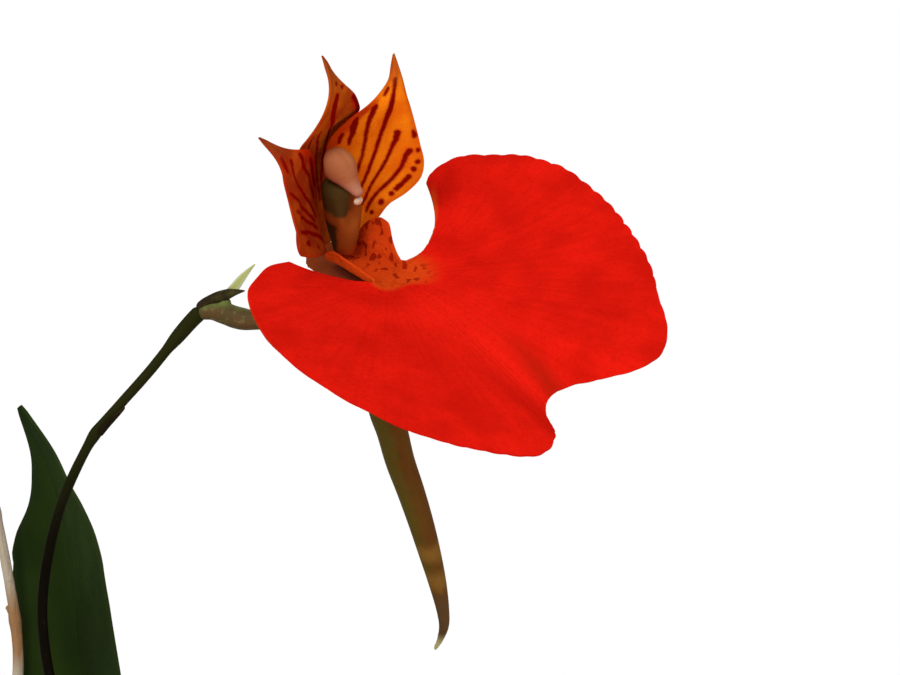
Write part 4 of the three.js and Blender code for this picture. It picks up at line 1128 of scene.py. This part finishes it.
def petalMaterial(name, deep, bright):
    skin = Finish(name + "Skin", petal["look"], gloss=0)
    uv, along, across = skin.own()
    veins = skin.noise(1, 3, (2, 30, 1), uv)
    skin.tone = skin.mix(skin.step(skin.noise(2.4, 3), 0.3, 0.7), deep, bright)
    skin.tone = skin.mix(skin.step(veins, 0.45, 0.7) * 0.2, skin.tone, deep)
    fromMiddle = skin.maths("ABSOLUTE", across - 0.5, 0)
    margin = skin.step(fromMiddle + skin.noise(1.5, 3) * 0.16, 0.4, 0.58)
    skin.lay(margin * 0.4, "red")
    # a deeper red strip along the inner margin: partly the petal's own red, partly painted shade where it
    # lies against the dorsal sepal
    strip = skin.step(across + skin.noise(1.2, 3) * 0.1, 0.25, 0.12) * skin.step(along, 0.2, 0.4)
    skin.lay(strip * skin.step(along, 0.82, 0.7) * 0.75, "red")
    edge = skin.note("stripe") + skin.noise(0.4, 3) * 0.22 - 0.11
    skin.lay(skin.step(edge, 0.24, 0.0) * 0.5, "halo")
    skin.lay(skin.step(edge, 0.12, -0.08), "stripe")
    skin.lay(skin.step(along, 0.8, 0.95) * 0.5, "tip")
    return skin.done(0.6, veins * 0.08 + skin.cells(0.18) * 0.02)


# Joined lower sepals and the spur

boat = {
    "start": -3.9, "end": 5,
    "half": [(-3.9, 0.7), (-3.2, 1.9), (-2.2, 2.6), (-0.6, 2.7), (0.8, 2.6), (2.4, 2.2), (3.8, 1.5),
             (5, 0.4)],
    "top": [(-3.9, 0.45), (-2.2, 0.45), (2.4, 0.45), (3.8, 0.5), (5, 0.7)],
    "bottom": [(-3.9, 0), (-2.2, -0.12), (-0.6, -0.12), (0.8, -0.6), (2.4, -1), (3.8, -0.7), (5, 0.1)],
    "trough": [(-3.9, 0.02), (-2.6, 0.2), (-0.6, 0.32), (0.8, 0.6), (2.4, 0.9), (3.8, 0.6), (5, 0.05)],
}
spur = {
    "route": [(0, 2.4, -1), (0, 2.5, -1.8), (0, 3, -5), (0, 4, -10), (0, 4.8, -13.8), (0, 5.6, -15.6),
              (0, 6.6, -18.7), (0, 7.9, -21.5), (0, 9.1, -24.4), (0, 10.2, -27.4), (0, 11.2, -30.5),
              (0, 11.95, -33.7), (0, 12.1, -35.5), (0, 11.6, -37.6), (0, 10.9, -39.3)],
    "radius": [(0, 1.9), (0.04, 1.9), (0.1, 1.8), (0.23, 1.6), (0.34, 1.48), (0.46, 1.36), (0.57, 1.24),
               (0.67, 1.1), (0.775, 0.86), (0.855, 0.62), (0.9, 0.5), (0.95, 0.34), (1, 0.2)],
    "voxel": 0.16, "bands": [(27.2, 1.3), (30.2, 1.5)],
    "look": {"red": (0.115, 0.028, 0.0035), "brown": (0.12, 0.045, 0.005), "low": (0.12, 0.056, 0.01),
             "fleck": (0.06, 0.022, 0.003), "flank": (0.085, 0.085, 0.012), "end": (0.1, 0.052, 0.022),
             "band": (0.24, 0.11, 0.02), "tip": (0.5, 0.44, 0.21), "inside": (0.23, 0.032, 0.004),
             # the front tone is the boat tip's yellow-orange: partly its own colour, partly a painted
             # highlight
             "front": (0.5, 0.12, 0.014)},
}


def makeSpur():
    def hull(u, v):
        y = boat["start"] + (boat["end"] - boat["start"]) * u
        angle = 2 * math.pi * v
        top, bottom = read(boat["top"], y), read(boat["bottom"], y)
        if math.sin(angle) <= 0:
            high = top + (top - bottom) * math.sin(angle)
        else:
            high = top - read(boat["trough"], y) * (1 - abs(math.cos(angle)))
        return flower @ Vector((read(boat["half"], y) * math.cos(angle), y, high))

    def radius(share, angle):
        groove = 0.05 * math.cos(2 * angle)
        groove += 0.03 * rough(share * 9, 2 * math.cos(angle), 2 * math.sin(angle))
        return read(spur["radius"], share) + groove * (1 - share)

    bowl = shell("bowl", 60, 60, hull)
    horn = tube("horn", [flower @ Vector(p) for p in spur["route"]], 260, 40, radius)
    piece = fuse("synsepalSpur", [bowl, horn], spur["voxel"], 5)
    spots = inFlower(piece)
    note(piece, "fall", [-spot.z for spot in spots])
    note(piece, "out", [spot.y for spot in spots])
    note(piece, "left", [spot.x for spot in spots])
    return dress(piece, spurMaterial(), "spur", "synsepal_spur")


def spurMaterial():
    skin = Finish("spurSkin", spur["look"], gloss=0.03)
    fall, out, left = skin.note("fall"), skin.note("out"), skin.note("left")
    patch = skin.noise(2.6, 4, (1, 1, 0.5))
    fleck = skin.noise(0.5, 3, (1, 1, 0.6))
    skin.ground(skin.step(patch, 0.36, 0.66), "red", "brown")
    skin.lay(skin.step(fall, 8, 26) * 0.5, "low")
    skin.lay(skin.step(fleck, 0.5, 0.75) * 0.3, "fleck")
    skin.lay(skin.step(left + fleck * 0.6, 0.9, 1.7) * 0.6, "flank")
    skin.lay(skin.step(fall, 30.5, 33) * 0.75, "end")
    for at, tall in spur["bands"]:
        near = skin.step(skin.maths("ABSOLUTE", fall + fleck - at - 0.5, 0), tall, 0.2)
        skin.lay(near * 0.7, "band")
    skin.lay(skin.step(fall, 36.2, 38.4), "tip")
    inside = skin.step(fall, 0.9, 0.1)
    skin.lay(inside * 0.9, "inside")
    # the boat tip's yellow-orange: partly its own colour, partly a painted highlight
    skin.lay(inside * skin.step(out + fleck, 2.4, 4.2), "front")
    return skin.done(0.55, skin.noise(0.35, 3, (1, 1, 0.3)) * 0.06 + patch * 0.08)


# Lip

lip = {
    "margin": [(4.6, -2.5), (6.4, -3.2), (8.2, -2.8), (10.6, -1.7), (13.2, 1.5), (15.2, 5.2), (16.3, 8.8),
               (16.9, 13.2), (16.8, 16.4), (16.3, 20), (15.4, 23.2), (13.8, 26.1), (12.5, 27.6),
               (11.3, 29.1), (9.5, 30.8), (7.4, 31.1), (5.2, 29.9), (2.6, 27.1), (0.8, 24.9),
               (-0.7, 24.2), (-2.2, 24.9), (-4.1, 27), (-6.3, 29.2), (-8.6, 29.8), (-10.6, 29),
               (-12.3, 27.3), (-13.5, 25.5), (-15.4, 23.2), (-17.1, 20.2), (-18.6, 16.6), (-19.6, 12.9),
               (-20.2, 9.6), (-20.1, 6.5), (-19.1, 3.4), (-17.6, 1), (-16.1, -0.9), (-14.6, -1.6),
               (-13.1, -1.65), (-11.9, -1.1)],
    "rear": -0.6, "front": 5.4, "clawHalf": 1.75, "floor": [(-0.6, 1.1), (3.6, 1.1), (5.4, 1.45)],
    "nearWall": [(-0.6, 2.4), (0.1, 2.9), (0.8, 3), (1.6, 2.85), (2.8, 2.7), (4.2, 2.5), (5.4, 2.3)],
    "farWall": [(-0.6, 1.5), (-0.1, 2.6), (0.3, 3.7), (0.7, 4.3), (1.4, 5), (2.4, 5.5), (3.2, 5.4),
                (4, 3.9), (4.8, 2.9), (5.4, 2.5)],
    "flare": 0.2, "clawShare": 0.34, "nearPower": 1.2, "farPower": 3, "farBow": 4.3, "nearBow": 0.8,
    "lift": 0.006, "arch": 0.003,
    "sag": {"depth": 4.4, "start": 9, "length": 18, "power": 1.6, "width": 3.6}, "rows": 84,
    "columns": 340, "thickness": 0.5,
    "teeth": [(0, 0), (0.3, 0.04), (0.4, 0.16), (0.5, 0.05), (0.68, 0.05), (0.74, 0.2), (0.92, 0.2),
              (1, 0.02)],
    "toothCount": 62, "roll": 0.5,
    "look": {"dull": (0.54, 0.0068, 0.0028), "bright": (0.69, 0.0095, 0.0038),
             # the sheen tone is a painted highlight
             "sheen": (0.77, 0.0122, 0.005), "vein": (0.44, 0.004, 0.0015),
             # the crease tone is painted shade
             "fleck": (0.44, 0.0035, 0.0014), "crease": (0.25, 0.009, 0.002),
             "throat": (0.6, 0.062, 0.006), "spot": (0.24, 0.006, 0.002)},
}


def lipHeight(x, y):
    sag = lip["sag"]
    fall = sag["depth"] * max(0, (y - sag["start"]) / sag["length"]) ** sag["power"]
    return 2 + lip["lift"] * x * x - fall * hump(x, 0, sag["width"]) - lip["arch"] * (y - 8) ** 2


def clawSpot(v, y):
    side = "near" if v < 0.5 else "far"
    depth = (1 - math.sin(math.pi * v)) ** lip[side + "Power"]
    floor = read(lip["floor"], y)
    z = floor + (read(lip[side + "Wall"], y) - floor) * depth
    half = lip["clawHalf"] + lip["flare"] * max(0, z - 2.6)
    return Vector((half * math.cos(math.pi * v), y, z))


def makeLip():
    margin = Route([(x, y, 0) for x, y in lip["margin"]])

    def flat(u, v):
        if u <= lip["clawShare"]:
            return clawSpot(v, lip["rear"] + (lip["front"] - lip["rear"]) * u / lip["clawShare"])
        t = (u - lip["clawShare"]) / (1 - lip["clawShare"])
        start = clawSpot(v, lip["front"])
        end = margin.at(v)
        ahead = margin.heading(v)
        tooth = abs(math.sin(math.pi * lip["toothCount"] * v + 1.4 * rough(v * 12, 3, 0))) ** 0.7 - 0.6
        end += Vector((ahead.y, -ahead.x, 0)) * read(lip["teeth"], v) * tooth
        root = Vector((start.x * 1.15, lip["front"] + 0.9 * math.sin(math.pi * v) + 0.2, 0))
        knee = (root + end) / 2
        if v < 0.5:
            knee.x += lip["nearBow"] * max(0, 1 - v / 0.06)
        else:
            knee.y += lip["farBow"] * max(0, (v - 0.53) / 0.47) ** 1.5
        spot = root * (1 - t) ** 2 + knee * 2 * t * (1 - t) + end * t * t
        blend = smooth(0, 0.25, t)
        spot.z = start.z * (1 - blend) + lipHeight(spot.x, spot.y) * blend
        wave = 0.16 * rough(v * 13, t * 1.5, 0) * t
        wave += 0.05 * math.sin(v * 120 + 3 * rough(v * 9, t, 2)) * smooth(0.3, 1, t)
        roll = lip["roll"] * smooth(0.86, 1, t) * hump(v, 0.585, 0.045)
        spot.z += wave * blend - roll
        return spot

    def place(u, v):
        return flower @ flat(u, v)

    def notes(piece, shares):
        warm, claw, bright, crease = [], [], [], []
        for u, v in shares:
            t = max(0, (u - lip["clawShare"]) / (1 - lip["clawShare"]))
            spot = flat(u, v)
            throat = 1 - smooth(0.0, 0.05 + 0.16 * smooth(0.4, 0.75, v), t)
            strip = 0.9 * smooth(0.978, 0.997, v) * (1 - smooth(0.8, 1, t))
            # rim: a painted highlight along the near lobe's upper margin
            rim = 0.4 * smooth(0.985, 1, t) * (1 - smooth(0.12, 0.2, v))
            warm.append(max(throat, strip, rim))
            claw.append((1 - smooth(0.03, 0.14, t)) * (0.3 + 0.7 * smooth(0.5, 0.6, v)))
            # bright: where a painted highlight falls, down the middle of the lip where it faces the light
            bright.append(hump(spot.x, 1, 3.4) * smooth(6, 12, spot.y))
            # painted shade along the crease by the notch, on the slope turned from the light
            crease.append(hump(spot.x, -1.1 - 0.1 * (25 - spot.y), 0.9) * smooth(15, 23.5, spot.y))
        return {"warm": warm, "claw": claw, "bright": bright, "crease": crease}

    piece = sheet("lipBlade", lip["rows"], lip["columns"], place, lip["thickness"], edge=0.35, notes=notes)
    return dress(piece, lipMaterial(), "lip", "lip", angle=60)


def lipMaterial():
    skin = Finish("lipSkin", lip["look"], gloss=0)
    uv, along = skin.own()[:2]
    veins = skin.noise(1, 3, (1.6, 90, 1), uv)
    skin.ground(skin.step(skin.noise(4, 5), 0.3, 0.7), "dull", "bright")
    # painted highlight: the middle band of the lip lightened where it faces the light
    skin.lay(skin.note("bright") * 0.75, "sheen")
    streaks = skin.step(veins, 0.42, 0.68) * skin.step(along, 0.34, 0.5)
    skin.lay(streaks * 0.2, "vein")
    skin.flecks("fleck", size=0.35, detail=3, ends=(0.45, 0.75), share=0.3)
    # painted shade in the crease near the notch
    skin.lay(skin.note("crease") * 0.6, "crease")
    # the throat's own orange, and a painted highlight along the near lobe's upper margin
    warmth = skin.step(skin.note("warm") + skin.noise(1.5, 3) * 0.3, 0.2, 1.15)
    skin.lay(warmth * 0.85, "throat")
    spots = skin.noise(0.6, 0.6, (1, 1, 0.65)) + skin.noise(2.4, 2) * 0.16
    skin.lay(skin.step(spots, 0.645, 0.73) * skin.note("claw") * 0.8, "spot")
    relief = skin.cells(0.22) * 0.03 + veins * 0.1 + skin.noise(1.4, 3) * 0.12
    return skin.done(0.7, relief)


# Column and anther cap

column = {
    "middle": [(1.75, -0.1), (4.2, -0.15), (5.2, -0.2), (7, -0.35), (8.4, -0.55), (9.6, -0.6)],
    "wide": [(1.75, 0.8), (3, 1), (4.2, 1.2), (5.2, 1.35), (7, 1.55), (8.4, 1.6), (9.2, 1.3), (9.6, 0.75)],
    "deep": [(1.75, 1), (3, 1.3), (4.2, 1.6), (5.2, 1.7), (7, 1.7), (8.4, 1.65), (9.2, 1.4), (9.6, 0.75)],
    "foot": 1.75, "top": 9.6, "stigma": {"height": 6.4, "depth": 0.7, "tall": 1.1, "wide": 0.55},
    "wing": 0.16, "footCap": 0.05, "topCap": 0.06,
    "look": {"orange": (0.3, 0.06, 0.006), "tan": (0.22, 0.055, 0.01), "foot": (0.36, 0.03, 0.004),
             "shade": (0.045, 0.016, 0.003), "green": (0.06, 0.032, 0.008), "fleck": (0.14, 0.03, 0.004)},
}
cap = {
    "route": [(-1.85, 11), (-1.2, 11.15), (-0.5, 11), (0.2, 10.5), (0.9, 9.85), (1.55, 9.4), (2.15, 9.1)],
    "wide": [(0, 1.2), (0.2, 1.42), (0.34, 1.42), (0.46, 1.3), (0.58, 1.05), (0.7, 0.8), (0.82, 0.62),
             (0.93, 0.5), (1, 0.44)],
    "tall": [(0, 1.45), (0.2, 1.65), (0.34, 1.6), (0.46, 1.35), (0.58, 1), (0.7, 0.72), (0.82, 0.52),
             (0.93, 0.42), (1, 0.36)],
    "back": 0.27, "beak": 0.07, "furrow": 0.12, "pad": {"spot": (0, 1.8, 8.35), "size": (0.5, 0.3, 0.36)},
    "look": {"light": (0.4, 0.135, 0.054), "dark": (0.33, 0.096, 0.034), "beak": (0.4, 0.165, 0.105),
             "pad": (0.6, 0.4, 0.27)},
}


def makeColumn():
    tall = column["top"] - column["foot"]
    stigma = column["stigma"]

    def place(u, v):
        angle = 2 * math.pi * v
        share = crowded(u, 0.8)
        z = column["foot"] + tall * share
        end = dome(min(share / column["footCap"], (1 - share) / column["topCap"]))
        fromFront = abs((angle - math.pi / 2 + math.pi) % (2 * math.pi) - math.pi)
        dent = stigma["depth"] * hump(z, stigma["height"], stigma["tall"])
        dent *= hump(fromFront, 0, stigma["wide"])
        wing = column["wing"] * hump(fromFront, 0.95, 0.3) * hump(z, stigma["height"], 1.8)
        wide = (read(column["wide"], z) * (1 + wing)) * end
        deep = (read(column["deep"], z) * (1 + wing) - dent) * end
        y = read(column["middle"], z) + deep * math.sin(angle)
        return flower @ Vector((wide * math.cos(angle), y, z))

    piece = shell("columnBody", 90, 80, place)
    spots = inFlower(piece)
    note(piece, "rise", [spot.z for spot in spots])
    note(piece, "left", [spot.x - spot.y for spot in spots])
    skin = Finish("columnSkin", column["look"], gloss=0.02)
    rise, left = skin.note("rise"), skin.note("left")
    skin.ground(skin.noise(1.2, 3), "orange", "tan")
    skin.lay(skin.step(rise, 3.6, 2.2) * 0.6, "foot")
    # painted shadow: the column's left side darkened in the hollow between it and the near petal
    shade = skin.step(left + skin.noise(0.8, 3) * 0.6, 0.9, 1.6) * skin.step(rise, 6, 5.2)
    skin.lay(shade, "shade")
    # olive green under the anther cap: partly the column's own colour, partly painted shade below the cap
    green = skin.step(rise + skin.noise(1, 3) * 1.2, 6.9, 7.7) * skin.step(left, -1.6, -0.2)
    skin.lay(green, "green")
    skin.flecks("fleck", size=0.4, detail=2, ends=(0.62, 0.7), share=0.35)
    dress(piece, skin.done(0.5, skin.noise(0.3, 3) * 0.04), "column", "column")


def makeCap():
    line = Route([(0, y, z) for y, z in cap["route"]])

    def hood(u, v):
        angle = 2 * math.pi * v
        share = crowded(u, 0.85)
        end = dome(min(share / cap["back"], (1 - share) / cap["beak"]))
        up = Vector((1, 0, 0)).cross(line.heading(share)).normalized()
        furrow = cap["furrow"] * hump(angle, math.pi / 2, 0.22) * hump(share, 0.3, 0.2)
        wide = read(cap["wide"], share) * end * math.cos(angle)
        high = (read(cap["tall"], share) - furrow) * end * math.sin(angle)
        return flower @ (line.at(share) + Vector((wide, 0, 0)) + up * high)

    piece = shell("antherCap", 90, 72, hood)
    pad = ball("pad", 20, 30, cap["pad"], flower)
    note(pad, "pad", [1.0] * len(pad.data.vertices))
    note(piece, "pad", [0.0] * len(piece.data.vertices))
    piece = join("antherCap", [piece, pad])
    note(piece, "rise", [spot.z for spot in inFlower(piece)])
    skin = Finish("capSkin", cap["look"], gloss=0.05)
    skin.ground(skin.noise(1.6, 3), "light", "dark")
    skin.lay(skin.step(skin.note("rise"), 10.8, 9.4) * 0.8, "beak")
    skin.lay(skin.note("pad"), "pad")
    dress(piece, skin.done(0.5, skin.noise(0.3, 3) * 0.03), "anther", "anther_cap")


makeStage()
makePot()
makeBark()
print("pot and bark made")
makeRhizome()
for number, bulb in enumerate(bulbs, 1):
    makeBulb(number, bulb)
    makeSheath(number, bulb)
    makeLeaf(number, bulb, leaves[number - 1])
for number, route in enumerate(roots, 1):
    makeRoot(number, route)
print("bulbs, leaves and roots made")
makeStem()
for number, bract in enumerate(stemBracts, 1):
    makeStemBract(number, bract)
makeOldStalk()
makeOvary()
makeFloralBract()
makeBudScale()
print("stems made")
makePetal("petalNear", nearPetal, "petal_near")
makePetal("petalFar", farPetal, "petal_far")
makeDorsal()
makeSpur()
makeLip()
makeColumn()
makeCap()
print("flower made")
